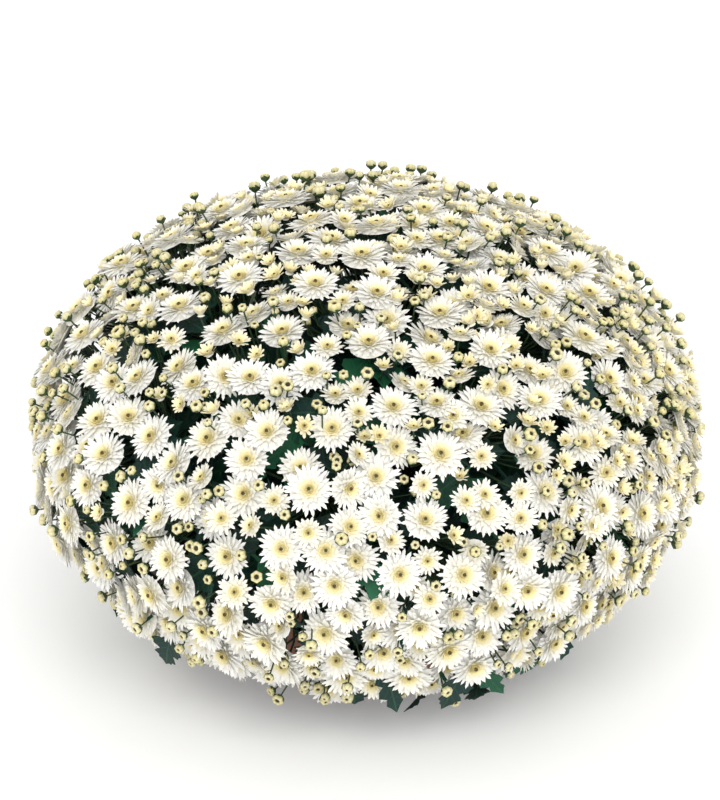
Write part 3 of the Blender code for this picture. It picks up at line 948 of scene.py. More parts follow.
def new_group(name, kind, inputs, outputs):
    """A node group with its inputs, given as a number or a kind of socket, and its results."""
    nodes = bpy.data.node_groups.new(name, kind)
    for label, given in inputs.items():
        socket_type = NUMBER_SOCKETS.get(type(given), given)
        socket = nodes.interface.new_socket(label, in_out="INPUT", socket_type=socket_type)
        if given != socket_type:
            socket.default_value = given
    for label, socket_type in outputs.items():
        nodes.interface.new_socket(label, in_out="OUTPUT", socket_type=socket_type)
    tree = Tree(nodes)
    start, end = nodes.nodes.new("NodeGroupInput"), nodes.nodes.new("NodeGroupOutput")
    return tree, {socket.name: Value(tree, socket) for socket in start.outputs}, end.inputs


def grown(name, mesh, nodes, inputs):
    """The plain mesh that these nodes make of the mesh, as an object at the origin."""
    obj = bpy.data.objects.new(name, mesh)
    bpy.context.scene.collection.objects.link(obj)
    modifier = obj.modifiers.new("Growth", "NODES")
    modifier.node_group = nodes
    for item in nodes.interface.items_tree:
        if item.in_out == "INPUT" and item.name in inputs:
            modifier[item.identifier] = inputs[item.name]
    result = evaluated_mesh(obj)
    result.name = name
    obj.modifiers.remove(modifier)
    obj.data = result
    bpy.data.meshes.remove(mesh)
    return obj


# Finishes

BUMP_STRENGTH = 0.6


@cache
def mottle_group():
    """Uneven growth: the colour darkens and lightens in soft patches, with a fine grain."""
    tree, given, result = new_group(
        "Mottle",
        "ShaderNodeTree",
        {"Colour": "NodeSocketColor", "Amount": 0.15, "Patches per Metre": 120.0},
        {"Colour": "NodeSocketColor", "Grain": "NodeSocketFloat"},
    )
    patches = tree.noise(given["Patches per Metre"], 2.0)
    grain = tree.noise(given["Patches per Metre"] * 9.0, 1.0)
    swing = (patches - 0.5) * given["Amount"]
    level = swing + (grain - 0.5) * given["Amount"] * 0.4 + 1.0
    shaded = {"Vector": given["Colour"], "Scale": level}
    tree.put(tree.add("ShaderNodeVectorMath", shaded, operation="SCALE"), result["Colour"])
    tree.put(grain, result["Grain"])
    return tree.nodes


@cache
def rib_group():
    """Fine ribs that run the length of a petal or stalk, as a height."""
    sockets = {"Ribs": 4.0}, {"Height": "NodeSocketFloat"}
    tree, given, result = new_group("Ribs", "ShaderNodeTree", *sockets)
    wave = tree.calc("SINE", tree.read("across") * (given["Ribs"] * math.pi))
    tree.put(wave * 0.5 + 0.5, result["Height"])
    return tree.nodes


def new_material(name, roughness, specular):
    """A finish, its node tree and the sockets of its shader."""
    material = bpy.data.materials.new(name)
    material.use_nodes = True
    shader = material.node_tree.nodes["Principled BSDF"].inputs
    shader["Roughness"].default_value = roughness
    shader["Specular IOR Level"].default_value = specular
    return material, Tree(material.node_tree), shader


def as_finish(name, roughness, mottling, patches, bump, specular=0.5):
    """Makes a painting function one finish: its colour in patches, and its height as a bump.

    Where the function gives no height, the grain of the patches takes its place.
    """

    def decorate(paint):
        @cache
        def finish():
            material, tree, shader = new_material(name, roughness, specular)
            colour, height = paint(tree, bpy.context.scene.chrysanthemum_colours)
            inputs = {"Colour": colour, "Amount": mottling, "Patches per Metre": patches}
            mottled = tree.add("ShaderNodeGroup", inputs, node_tree=mottle_group())
            tree.put(mottled, shader["Base Color"])
            height = height or mottled.beside("Grain")
            raised = {"Strength": BUMP_STRENGTH, "Distance": bump, "Height": height}
            tree.put(tree.add("ShaderNodeBump", raised), shader["Normal"])
            return material

        return finish

    return decorate


@as_finish("white petals", roughness=0.62, mottling=0.05, patches=90.0, bump=0.00015)
def petal_finish(tree, colours):
    """White, warming to cream towards the heart, with a greenish base and fine ribs."""
    warm = tree.read("warmth") + tree.read("tint") * 0.10
    colour = tree.mix(warm, colours.petal_white, colours.heart_cream)
    depth = (1.0 - tree.read("along")) ** 3.0
    return tree.mix(depth * 0.55, colour, PETAL_FOOT), tree.ribs(5.0)


@as_finish("bud petals", roughness=0.55, mottling=0.10, patches=300.0, bump=0.0004)
def bud_finish(tree, colours):
    """Cream petals rolled in round a dark pit, greenish where they leave the bracts, with painted
    shade in the furrows between them.
    """
    along = tree.read("along")
    colour = tree.mix(tree.ramp(along, 0.45, 0.15) * 0.7, colours.bud_cream, BUD_FOOT)
    colour = tree.mix(tree.read("tint") * 0.5, colour, FRESH_BUD)
    # Painted shade darkens the drawn-in furrows between the rolled petals
    colour = tree.mix(tree.read("across") ** 2.0 * 0.55, colour, BUD_FURROW_SHADE)
    return tree.mix(tree.ramp(along, 0.68, 0.80), colour, colours.eye_olive), tree.ribs(2.0)


@as_finish("flower eyes", roughness=0.8, mottling=0.5, patches=900.0, bump=0.0003)
def eye_finish(tree, colours):
    """The dark olive pit that shows between the last petals of a heart."""
    return tree.mix(tree.read("along"), EYE_SIDE, colours.eye_olive), None


@as_finish("dark leaves", roughness=0.55, mottling=0.5, patches=70.0, bump=0.0006, specular=0.28)
def leaf_finish(tree, colours):
    """Dark blue-green blades, some of them young and light, with paler veins."""
    side = abs(tree.read("across"))
    wave = tree.calc("SINE", (tree.read("along") - side) * 34.0)
    midrib = tree.ramp(side, 0.028, 0.008)
    veins = tree.calc("MAXIMUM", tree.ramp(wave, 0.86, 1.0) * 0.45, midrib)
    colour = tree.mix(tree.read("tint") ** 5.0, colours.leaf_green, YOUNG_LEAF)
    return tree.mix(veins * 0.35, colour, LEAF_VEIN), 1.0 - veins


@as_finish("green stalks", roughness=0.6, mottling=0.4, patches=200.0, bump=0.0004)
def stalk_finish(tree, colours):
    """Green stalks and bracts, a little brown in patches."""
    brown = tree.ramp(tree.noise(60.0, 2.0), 0.5, 0.7)
    return tree.mix(brown * 0.3, colours.stalk_green, STALK_BROWN), None


@as_finish("terracotta plastic", roughness=0.46, mottling=0.16, patches=140.0, bump=0.0002)
def pot_finish(tree, colours):
    """Moulded terracotta-coloured plastic with a fine grain and a lime bloom near the foot."""
    height = tree.add("ShaderNodeSeparateXYZ", {"Vector": tree.where()}, "Z")
    lime = tree.ramp(height, 0.045, 0.0) * tree.noise(45.0, 4.0)
    return tree.mix(lime * 0.45, colours.pot_terracotta, LIME_BLOOM), None


@as_finish("peat", roughness=0.95, mottling=0.8, patches=180.0, bump=0.002)
def soil_finish(tree, colours):
    """Damp peat with paler fibres and a coarse crumb."""
    crumb = tree.add("ShaderNodeTexVoronoi", {"Vector": tree.where(), "Scale": 320.0}, "Distance")
    pale = tree.ramp(tree.noise(150.0, 6.0), 0.58, 0.75)
    return tree.mix(pale * 0.7, colours.soil_brown, PEAT_FIBRE), crumb


# The shapes that grow: petals, eyes, bracts, buds and leaves

PETAL_THICKNESS = 0.03
LEAF_THICKNESS = 0.016
GROUND_SIDES = 14
EYE_ROWS = ((0, 0.10), (0.080, 0.29), (0.060, 0.33), (0, 0.32))
CUP_ROWS = ((0, -0.34), (0.13, -0.18), (0.17, 0.0), (0, 0.03))
BUD_ROWS = (
    ((0, -0.50), (0.96, -0.08), (0.88, 0.54), (0.50, 0.74), (0.24, 0.40), (0, 0.25)),
    ((0, -0.46), (0.95, -0.06), (0.92, 0.42), (0.60, 0.62), (0.34, 0.30), (0, 0.10)),
    ((0, -0.52), (0.92, -0.08), (0.80, 0.58), (0.36, 0.84), (0.16, 0.62), (0, 0.50)),
)
BRACT_ROWS = ((0, -0.95), (0.30, -0.82), (0.84, -0.36), (0.96, 0.0), (0, -0.2))
LEAF_EDGES = (
    ((0.05, 0.93), (0.10, 0.87), (0.17, 0.84), (0.18, 0.77), (0.29, 0.72), (0.25, 0.65),
     (0.17, 0.57), (0.24, 0.53), (0.34, 0.50), (0.36, 0.42), (0.42, 0.37), (0.33, 0.30),
     (0.20, 0.24), (0.12, 0.19), (0.17, 0.13), (0.12, 0.05), (0.028, 0.0), (0.018, -LEAF_STALK)),
    ((0.08, 0.90), (0.20, 0.82), (0.19, 0.72), (0.31, 0.66), (0.17, 0.52), (0.38, 0.42),
     (0.32, 0.30), (0.13, 0.20), (0.13, 0.06), (0.022, -LEAF_STALK)),
    ((0.10, 0.86), (0.18, 0.78), (0.13, 0.66), (0.30, 0.56), (0.26, 0.44), (0.15, 0.38),
     (0.30, 0.26), (0.20, 0.14), (0.03, 0.02), (0.022, -LEAF_STALK)),
)
MIDRIB = (0.84, 0.60, 0.36, 0.14)


def petal_shape(name, width, curl, cup, rings, collection, finish=None):
    """A closed pointed petal along +X, one unit long, with its inner face up."""
    skin, numbers = [], [(0.0, 0.0)]
    for along, share in rings:
        rise, half = curl * along * along, width / 2 * share
        edge = rise + cup * half
        skin.append(((along, -half, edge), (along, 0, rise - PETAL_THICKNESS), (along, half, edge)))
        numbers += [(along, -share), (along, 0.0), (along, share)]
    numbers.append((1.0, 0.0))
    shape = closed_form((0, 0, 0), skin, (1.0, 0, curl))
    return numbered(name, shape, numbers, finish, collection)


def turned_shape(name, rows, sides, finish, wave=0.0, furrow=0.0):
    """A closed round form from rows of (radius, height), the first and last on the axis.

    The rim of the last row waves up and down, and every second side is drawn in by the furrow.
    """
    skin, numbers, last = [], [(0.0, 0.0)], len(rows) - 1
    for step, (radius, height) in enumerate(rows[1:-1], start=1):
        ring = []
        for index in range(sides):
            odd = index % 2
            lift = wave * (1 if odd else -1) if step == last - 1 else 0.0
            angle = 2 * math.pi * index / sides
            ring.append(polar(radius * (1 - furrow * odd), angle, height + lift))
            numbers.append((step / last, float(odd if furrow else index)))
        skin.append(ring)
    numbers.append((1.0, 0.0))
    shape = closed_form((0, 0, rows[0][1]), skin, (0, 0, rows[-1][1]))
    return numbered(name, shape, numbers, finish)


def leaf_shape(name, edge, collection):
    """A lobed, toothed leaf along +Y with the foot of its stalk at the origin, in leaf lengths."""
    shape = bmesh.new()
    tip, foot = ring_of(shape, ((0, 1, 0), (0, -LEAF_STALK, 0)))
    rib = ring_of(shape, [(0, y, 0) for y in MIDRIB])
    for side in (1, -1):
        rim = ring_of(shape, [(side * x, y, 0) for x, y in edge])
        shape.faces.new([tip, *rim, foot, *reversed(rib)])
    bmesh.ops.triangulate(shape, faces=shape.faces[:])
    for point in shape.verts:
        point.co = leaf_point(point.co.x, point.co.y)
    bmesh.ops.recalc_face_normals(shape, faces=shape.faces[:])
    bmesh.ops.solidify(shape, geom=shape.faces[:], thickness=LEAF_THICKNESS)
    numbers = [(point.co.y, point.co.x) for point in shape.verts]
    bmesh.ops.translate(shape, verts=shape.verts[:], vec=(0, LEAF_STALK, 0))
    return numbered(name, shape, numbers, leaf_finish(), collection)


@cache
def bloom_nodes():
    """Petals on a spiral, from upright cream ones round the eye to flat white outer ones."""
    tree, given, result = new_group(
        "Bloom",
        "GeometryNodeTree",
        {
            "Geometry": "NodeSocketGeometry",
            "Petals": "NodeSocketCollection",
            "Petal Count": 76,
            "Opening": 1.0,
            "Heart Share": 0.3,
            "Warmth": 0.0,
            "Breadth": 1.0,
            "Seed": 0,
            "Petal Finish": "NodeSocketMaterial",
        },
        {"Geometry": "NodeSocketGeometry"},
    )
    index = tree.add("GeometryNodeInputIndex")
    place = index / (given["Petal Count"] - 1.0)
    azimuth = index * GOLDEN_ANGLE + tree.random(-0.10, 0.10, given["Seed"])
    steepness = tree.curve(
        place, (0.0, 0.80), (0.14, 0.60), (0.34, 0.34), (0.60, 0.18), (0.85, 0.09), (1.0, 0.04)
    )
    lean = (1.0 - steepness) * given["Opening"]
    climb = (1.0 - lean) * (math.pi / 2) + tree.random(-0.07, 0.07, given["Seed"] + 7.0)
    length = tree.curve(
        place, (0.0, 0.20), (0.14, 0.28), (0.34, 0.48), (0.60, 0.73), (0.85, 0.90), (1.0, 0.95)
    )
    length = length * tree.random(0.93, 1.05, given["Seed"] + 13.0)
    breadth = tree.curve(place, (0.0, 0.42), (0.3, 0.78), (0.6, 0.95), (1.0, 1.0))
    breadth = breadth * given["Breadth"]
    reach = place * 0.03 + 0.078
    across, side = tree.calc("COSINE", azimuth) * reach, tree.calc("SINE", azimuth) * reach
    foot = tree.vector(across, side, (1.0 - place) * 0.12)
    points = tree.add("GeometryNodePoints", {"Count": given["Petal Count"], "Position": foot})
    warmth = tree.curve(place, (0.0, 1.0), (0.15, 0.92), (0.30, 0.52), (0.46, 0.16), (1.0, 0.02))
    petals = tree.planted(
        points=points,
        shapes=given["Petals"],
        which=(place > given["Heart Share"]) + (place > 0.56),
        turn=tree.vector(tree.random(-0.25, 0.25, given["Seed"] + 19.0), climb * -1.0, azimuth),
        size=tree.vector(length, breadth, length),
        name="warmth",
        number=tree.calc("MINIMUM", warmth + given["Warmth"], 1.0),
    )
    petals = tree.finished(petals, given["Petal Finish"])
    tree.put(tree.joined(petals, given["Geometry"]), result["Geometry"])
    return tree.nodes


@cache
def growth_nodes():
    """Stalks swept along their lines, with a flower or leaf on each growing point."""
    tree, given, result = new_group(
        "Growth",
        "GeometryNodeTree",
        {
            "Geometry": "NodeSocketGeometry",
            "Shapes": "NodeSocketCollection",
            "Stalk Sides": 4,
            "Seed": 0,
            "Stalk Finish": "NodeSocketMaterial",
        },
        {"Geometry": "NodeSocketGeometry"},
    )
    kind = tree.stored("kind", "INT")
    numbers = {"A": kind, "B": -1}
    is_head = tree.add("FunctionNodeCompare", numbers, data_type="INT", operation="GREATER_THAN")
    parts = {"Geometry": given["Geometry"], "Selection": is_head}
    points = tree.add("GeometryNodeSeparateGeometry", parts)
    heads = tree.planted(
        points=points,
        shapes=given["Shapes"],
        which=kind,
        turn=tree.stored("turn", "FLOAT_VECTOR"),
        size=tree.stored("size"),
        name="tint",
        number=tree.random(0.0, 1.0, given["Seed"]),
    )
    swept = {
        "Curve": tree.add("GeometryNodeMeshToCurve", {"Mesh": points.beside("Inverted")}),
        "Profile Curve": tree.add(
            "GeometryNodeCurvePrimitiveCircle", {"Resolution": given["Stalk Sides"], "Radius": 1.0}
        ),
        "Scale": tree.stored("thickness"),
        "Fill Caps": True,
    }
    tubes = tree.add("GeometryNodeCurveToMesh", swept)
    tubes = tree.add("GeometryNodeSetShadeSmooth", {"Geometry": tubes})
    tubes = tree.finished(tubes, given["Stalk Finish"])
    tree.put(tree.joined(tubes, heads), result["Geometry"])
    return tree.nodes


def eye_and_calyx(reach):
    """The dark eye of a bloom, the closed ground under its petals and the cup of bracts behind."""
    eye = turned_shape("eye", EYE_ROWS, 6, eye_finish())
    rows = ((0, -0.05), (reach, 0.01), (0.6 * reach, 0.08), (0, 0.20))
    ground = turned_shape("ground", rows, GROUND_SIDES, petal_finish())
    for name, outer, inner, middle in (("along", 1.0, 0.8, 0.0), ("warmth", 0.0, 0.12, 1.0)):
        numbers = [0.0, *[outer] * GROUND_SIDES, *[inner] * GROUND_SIDES, middle]
        store_numbers(ground.data, name, numbers)
    return eye, ground, turned_shape("cup", CUP_ROWS, 5, stalk_finish())


def joined_mesh(objects):
    """One mesh of the objects' meshes, which keeps their finishes and numbers."""
    with bpy.context.temp_override(active_object=objects[0], selected_editable_objects=objects):
        bpy.ops.object.join()
    mesh = objects[0].data
    bpy.data.objects.remove(objects[0])
    return mesh


def grow_bloom_shapes(shapes):
    """The large, medium and half-open flowers that the sprays repeat, one unit in radius."""
    sizes = bpy.context.scene.chrysanthemum_flowers
    petals = new_collection("petals")
    petal_shape("petal 1 heart", 0.44, 0.06, 0.25, ((0.70, 1.0),), petals)
    petal_shape("petal 2 middle", 0.25, 0.06, 0.30, ((0.68, 1.0),), petals)
    petal_shape("petal 3 outer", 0.150, -0.05, 0.20, ((0.50, 1.0), (0.86, 0.86)), petals)
    for kind, count, openings, heart, warmth, breadth, ground in (
        (LARGE, sizes.large_petals, (1.0, 0.92, 0.84, 0.96, 0.88), 0.26, 0.0, 1.0, 0.78),
        (MEDIUM, sizes.medium_petals, (0.90, 0.78, 0.84), 0.30, 0.12, 1.2, 0.66),
        (HALF_OPEN, sizes.half_open_petals, (0.56, 0.44, 0.68), 0.42, 0.50, 1.7, 0.30),
    ):
        for variant, opening in enumerate(openings):
            inputs = {
                "Petals": petals,
                "Petal Count": count + 2 * variant,
                "Opening": opening,
                "Heart Share": heart,
                "Warmth": warmth,
                "Breadth": breadth,
                "Seed": 31 * kind + variant,
                "Petal Finish": petal_finish(),
            }
            body = joined_mesh(eye_and_calyx(ground))
            bloom = grown(shape_name(kind + variant), body, bloom_nodes(), inputs)
            bpy.context.scene.collection.objects.unlink(bloom)
            shapes.objects.link(bloom)
    drop_collection(petals)


def grow_bud_shapes(shapes):
    """Round buds of rolled-in petals over a cup of bracts, one unit in radius."""
    for variant, rows in enumerate(BUD_ROWS):
        bud = turned_shape("bud", rows, 12, bud_finish(), furrow=0.14)
        cup = turned_shape("cup", BRACT_ROWS, 8, stalk_finish(), wave=0.20)
        made = bpy.data.objects.new(shape_name(BUD + variant), joined_mesh((bud, cup)))
        shapes.objects.link(made)


def shape_name(number):
    return f"shape {number:02d}"


@cache
def growing_shapes():
    """A collection of every shape that a growing point can carry, named in order."""
    shapes = new_collection("shapes")
    grow_bloom_shapes(shapes)
    grow_bud_shapes(shapes)
    for variant, edge in enumerate(LEAF_EDGES):
        leaf_shape(shape_name(LEAF + variant), edge, shapes)
    bract = (0.22, -0.15, 0.4, ((0.35, 0.8), (0.7, 1.0)))
    petal_shape(shape_name(BRACT), *bract, shapes, leaf_finish())
    return shapes


# Sprays and stems


class Growth:
    """Growing points and stalk lines, gathered into one mesh."""

    def __init__(self):
        self.points, self.edges = [], []

    def head(self, kind, at, turn, size):
        self.points.append((at, kind, turn, size, 0.0))

    def line(self, path, radii):
        for step, (at, radius) in enumerate(zip(path, radii)):
            if step:
                self.edges.append((len(self.points) - 1, len(self.points)))
            self.points.append((at, -1, (0, 0, 0), 1.0, radius))

    def grown(self, name, sides, seed):
        mesh = bpy.data.meshes.new("growth")
        spots, kinds, turns, sizes, thickness = zip(*self.points)
        mesh.from_pydata(spots, self.edges, [])
        mesh.attributes.new("kind", "INT", "POINT").data.foreach_set("value", kinds)
        turns = [number for turn in turns for number in turn]
        mesh.attributes.new("turn", "FLOAT_VECTOR", "POINT").data.foreach_set("vector", turns)
        store_numbers(mesh, "size", sizes)
        store_numbers(mesh, "thickness", thickness)
        inputs = {"Stalk Sides": sides, "Seed": seed}
        inputs |= {"Shapes": growing_shapes(), "Stalk Finish": stalk_finish()}
        return grown(name, mesh, growth_nodes(), inputs)


def variant_of(kind, draw):
    return kind + draw.randrange(VARIANTS[kind])


def flower_turn(facing, draw):
    """Looks along the facing, spun at random."""
    spin = Matrix.Rotation(draw.uniform(0, 6.28), 3, "Z")
    return (facing.to_track_quat("Z", "Y").to_matrix() @ spin).to_euler()


def stalk_path(start, flower, depth):
    """From its start in an arch that comes in behind the flower."""
    seat = flower.at - flower.facing * depth
    reach = (seat - start).length
    behind = seat - flower.facing * 0.30 * reach
    return interpolate_bezier(start, start.lerp(seat, 0.35), behind, seat, 5)


def graded(first, last, count):
    return [first + (last - first) * step / (count - 1) for step in range(count)]


@cache
def flower_balls():
    return balls_of(plant()[0])


def in_a_flower(point):
    middles, radii = flower_balls()
    distance = np.linalg.norm(middles - np.array(point), axis=1)
    return bool((distance < FLOWER_HEART_SHARE * radii).any())


def small_leaf(growth, path, lengths, shell, highest, draw):
    """A leaf on the line, with its face out, its tip in the shell and its blade between flowers."""
    step = draw.randrange(1, len(path) - 1)
    base = path[step].lerp(path[step + 1], draw.uniform(0, 1))
    out_of_dome = dome_normal(base)
    for _ in range(LEAF_TURNS_TRIED):
        length = draw.uniform(*lengths)
        along = (out_of_dome * draw.uniform(0.1, 0.9) + random_offset(draw, 1.0)).normalized()
        face = out_of_dome + UP * 0.35 + random_offset(draw, 0.35)
        across = along.cross(face).normalized()
        turn = Matrix((across, along, across.cross(along))).transposed()
        tip = base + turn @ (leaf_point(0, 1) + Vector((0, LEAF_STALK, 0))) * length
        if not (LOWEST_LEAF < tip.z < highest and shell[0] < shell_scale(tip) < shell[1]):
            continue
        if not in_a_flower(tip) and not in_a_flower(base.lerp(tip, 0.65)):
            growth.head(variant_of(LEAF, draw), base, turn.to_euler(), length)
            return


def build_spray(index, piece_name):
    """One flowering spray: its hub, every flower and bud on its stalk, and its small leaves."""
    flowers, sprays, _, _, _ = plant()
    foliage = bpy.context.scene.chrysanthemum_foliage
    spray = sprays[index]
    own = [flower for flower in flowers if flower.spray == index]
    draw = random.Random(1000 * RANDOM_SEED + index)
    growth, stalks = Growth(), []
    half_hub = spray.axis * HUB_LENGTH / 2
    growth.line([spray.hub - half_hub, spray.hub, spray.hub + half_hub], HUB_RADII)
    for flower in sorted(own, key=lambda flower: flower.kind):
        variant = variant_of(flower.kind, draw)
        growth.head(variant, flower.at, flower_turn(flower.facing, draw), flower.radius)
        start, thickness = stalk_root(spray), foliage.stalk_radius
        if flower.kind >= HALF_OPEN and stalks:
            start = min(stalks, key=lambda path: (path[-1] - flower.at).length)[1]
            thickness *= 0.75
        seat = BUD_SEAT if flower.kind == BUD else HEAD_SEAT
        path = stalk_path(start, flower, seat * flower.radius)
        growth.line(path, graded(thickness * 1.25, thickness, len(path)))
        if flower.kind <= MEDIUM:
            stalks.append(path)
        elif flower.kind == BUD and draw.random() < BRACTED_SHARE:
            facing = (flower.facing + random_offset(draw, 0.9)).normalized()
            turn = facing.to_track_quat("X", "Z").to_euler()
            growth.head(BRACT, path[3], turn, draw.uniform(*BRACT_LENGTH))
    low = spray.axis.z < LOW_SPRAY_TILT
    count = (LOW_SPRAY_LEAVES if low else 1.0) * foliage.leaf_count / SPRAY_COUNT
    for _ in range(round(count)):
        chance = draw.random()
        if low and chance < LOW_LEAF_CHANCE:
            place = LOW_LEAF_LENGTH, LOW_LEAF_SHELL, LOW_EDGE
        elif chance > YOUNG_LEAF_CHANCE:
            place = YOUNG_LEAF_LENGTH, YOUNG_LEAF_SHELL, HIGHEST
        else:
            lengths = foliage.shortest_leaf, foliage.longest_leaf
            place = lengths, LEAF_SHELL_AMONG_STALKS, HIGHEST
        small_leaf(growth, draw.choice(stalks), *place, draw)
    return growth.grown(piece_name, 3, index)


def build_stem(stem, piece_name):
    """One leafy stem: its trunk, a branch to the foot of each spray, and its leaves."""
    _, sprays, _, paths, leaves = plant()
    foliage = bpy.context.scene.chrysanthemum_foliage
    draw = random.Random(2000 * RANDOM_SEED + int(stem.name[-2:]))
    growth = Growth()
    trunk = stem_path(stem)
    growth.line(trunk, graded(STEM_RADIUS, STEM_TOP_RADIUS, len(trunk)))
    own = [path for name, path in paths if name == stem.name]
    for path in own:
        growth.line(path, graded(BRANCH_RADIUS, HUB_FOOT_RADIUS, len(path)))
    for name, length, place in leaves:
        if name == stem.name:
            turn = place.to_3x3().normalized().to_euler()
            growth.head(LEAF, place @ Vector((0, -LEAF_STALK, 0)), turn, length)
    lengths = (foliage.longest_leaf, foliage.inner_leaf)
    for _ in range(round(foliage.inner_leaf_count * len(own) / SPRAY_COUNT)):
        small_leaf(growth, draw.choice(own), lengths, INNER_LEAF_SHELL, HIGHEST, draw)
    return growth.grown(piece_name, 7, 100)


# Pot, soil and stage

# Strength, spread and turn of each sun, in degrees
SUNS = (("key", 1.35, 40, (47, 0, 3)), ("front", 0.60, 60, (76, 0, -4)))
SKY_STRENGTH = 0.82
FLOOR_GLOW = 0.17
FLOOR_RADIUS = 40.0

# The photograph's frame: the ball's width and middle in pixels of a 720 by 800 picture
PICTURE = (720, 800)
BALL_WIDTH = 681
BALL_MIDDLE = (366, 431)
ELEVATION = 24.0
DISTANCE = 5.0
SENSOR_WIDTH = 36.0


def pot_radius(height):
    """Outer radius of the tapered pot wall under the collar."""
    taper = (POT_RIM_RADIUS - COLLAR_STEP - POT_FOOT_RADIUS) / POT_HEIGHT
    return POT_FOOT_RADIUS + taper * height


def build_pot():
    """The moulded pot with a rounded lip, a collar, a foot ring and drain holes."""
    collar, floor = POT_HEIGHT - COLLAR_HEIGHT, FOOT_RECESS + POT_WALL
    inner_foot = POT_FOOT_RADIUS - FOOT_RING_WIDTH
    inner_top = pot_radius(POT_HEIGHT) - POT_WALL
    profile = (
        (0, FOOT_RECESS),
        (inner_foot, FOOT_RECESS),
        (inner_foot + 0.001, 0.0004),
        (inner_foot + 0.0016, 0),
        (POT_FOOT_RADIUS - 0.0008, 0),
        (POT_FOOT_RADIUS, 0.0008),
        (pot_radius(0.012), 0.012),
        (pot_radius(0.013) + 0.0004, 0.013),
        (pot_radius(0.016) + 0.0004, 0.016),
        (pot_radius(0.017), 0.017),
        (pot_radius(collar), collar),
        (pot_radius(collar) + COLLAR_STEP - 0.0006, collar + 0.0014),
        (pot_radius(collar) + COLLAR_STEP, collar + 0.0024),
        (POT_RIM_RADIUS - 0.0003, POT_HEIGHT - 0.0012),
        (POT_RIM_RADIUS - 0.0010, POT_HEIGHT - 0.0002),
        (POT_RIM_RADIUS - 0.0020, POT_HEIGHT),
        (inner_top + 0.0008, POT_HEIGHT),
        (inner_top, POT_HEIGHT - 0.0008),
        (pot_radius(floor) - POT_WALL, floor),
        (0, floor),
    )
    shape = bmesh.new()
    points = ring_of(shape, [(radius, 0, height) for radius, height in profile])
    for first, second in zip(points, points[1:]):
        shape.edges.new((first, second))
    bmesh.ops.spin(
        shape,
        geom=shape.verts[:] + shape.edges[:],
        cent=(0, 0, 0),
        axis=(0, 0, 1),
        angle=2 * math.pi,
        steps=72,
        use_merge=True,
        use_duplicate=False,
    )
    bmesh.ops.remove_doubles(shape, verts=shape.verts[:], dist=0.00001)
    pot = new_mesh_object("nursery_pot", shape)
    cutters = new_collection("drain holes")
    for index in range(DRAIN_HOLE_COUNT):
        azimuth = 2 * math.pi * (index + 0.5) / DRAIN_HOLE_COUNT
        hole = bmesh.new()
        bmesh.ops.create_cone(
            hole,
            cap_ends=True,
            segments=20,
            radius1=DRAIN_HOLE_RADIUS,
            radius2=DRAIN_HOLE_RADIUS,
            depth=0.04,
            matrix=Matrix.Translation(polar(DRAIN_CIRCLE, azimuth)),
        )
        new_mesh_object(f"drain hole {index}", hole, collection=cutters)
    holes = pot.modifiers.new("Drain Holes", "BOOLEAN")
    holes.operand_type, holes.collection, holes.solver = "COLLECTION", cutters, "EXACT"
    pot.data = evaluated_mesh(pot)
    pot.modifiers.remove(holes)
    drop_collection(cutters)
    smoothed(pot.data, 40)
    pot.data.materials.clear()
    pot.data.materials.append(pot_finish())
    return pot


def build_soil():
    """The body of potting soil, with an uneven crumbly top that dips to the wall."""
    draw = random.Random(RANDOM_SEED + 30)
    floor, inset = FOOT_RECESS + POT_WALL + SOIL_GAP, POT_WALL + SOIL_GAP
    top = pot_radius(SOIL_LEVEL) - inset
    rings = [[(pot_radius(floor) - inset, floor)] * SOIL_SIDES]
    rings.append([(top, SOIL_LEVEL - SOIL_DIP)] * SOIL_SIDES)
    for step in range(SOIL_RINGS - 1, 0, -1):
        heights = [SOIL_LEVEL - draw.uniform(0.0, SOIL_CRUMB) for _ in range(SOIL_SIDES)]
        rings.append([(top * step / SOIL_RINGS, height) for height in heights])
    turns = [2 * math.pi * index / SOIL_SIDES for index in range(SOIL_SIDES)]
    skin = [
        [polar(radius, turn, height) for turn, (radius, height) in zip(turns, ring)]
        for ring in rings
    ]
    shape = closed_form((0, 0, floor), skin, (0, 0, SOIL_LEVEL - 0.001))
    return new_mesh_object("potting_soil", shape, soil_finish())


def build_floor():
    material, tree, shader = new_material("studio floor", 0.9, 0.1)
    tree.put(bpy.context.scene.chrysanthemum_colours.floor_white, shader["Base Color"])
    shader["Emission Color"].default_value = (1.0, 1.0, 1.0, 1.0)
    shader["Emission Strength"].default_value = FLOOR_GLOW
    shape = bmesh.new()
    bmesh.ops.create_circle(shape, cap_ends=True, segments=96, radius=FLOOR_RADIUS)
    new_mesh_object("studio_floor", shape, material)


def build_lights():
    world = bpy.data.worlds.new("studio")
    world.use_nodes = True
    background = world.node_tree.nodes["Background"].inputs
    background["Color"].default_value = (1.0, 1.0, 1.0, 1.0)
    background["Strength"].default_value = SKY_STRENGTH
    bpy.context.scene.world = world
    for name, strength, spread, turn in SUNS:
        lamp = bpy.data.lights.new(name, "SUN")
        lamp.energy, lamp.angle = strength, math.radians(spread)
        light = bpy.data.objects.new(name, lamp)
        light.rotation_euler = [math.radians(angle) for angle in turn]
        bpy.context.scene.collection.objects.link(light)


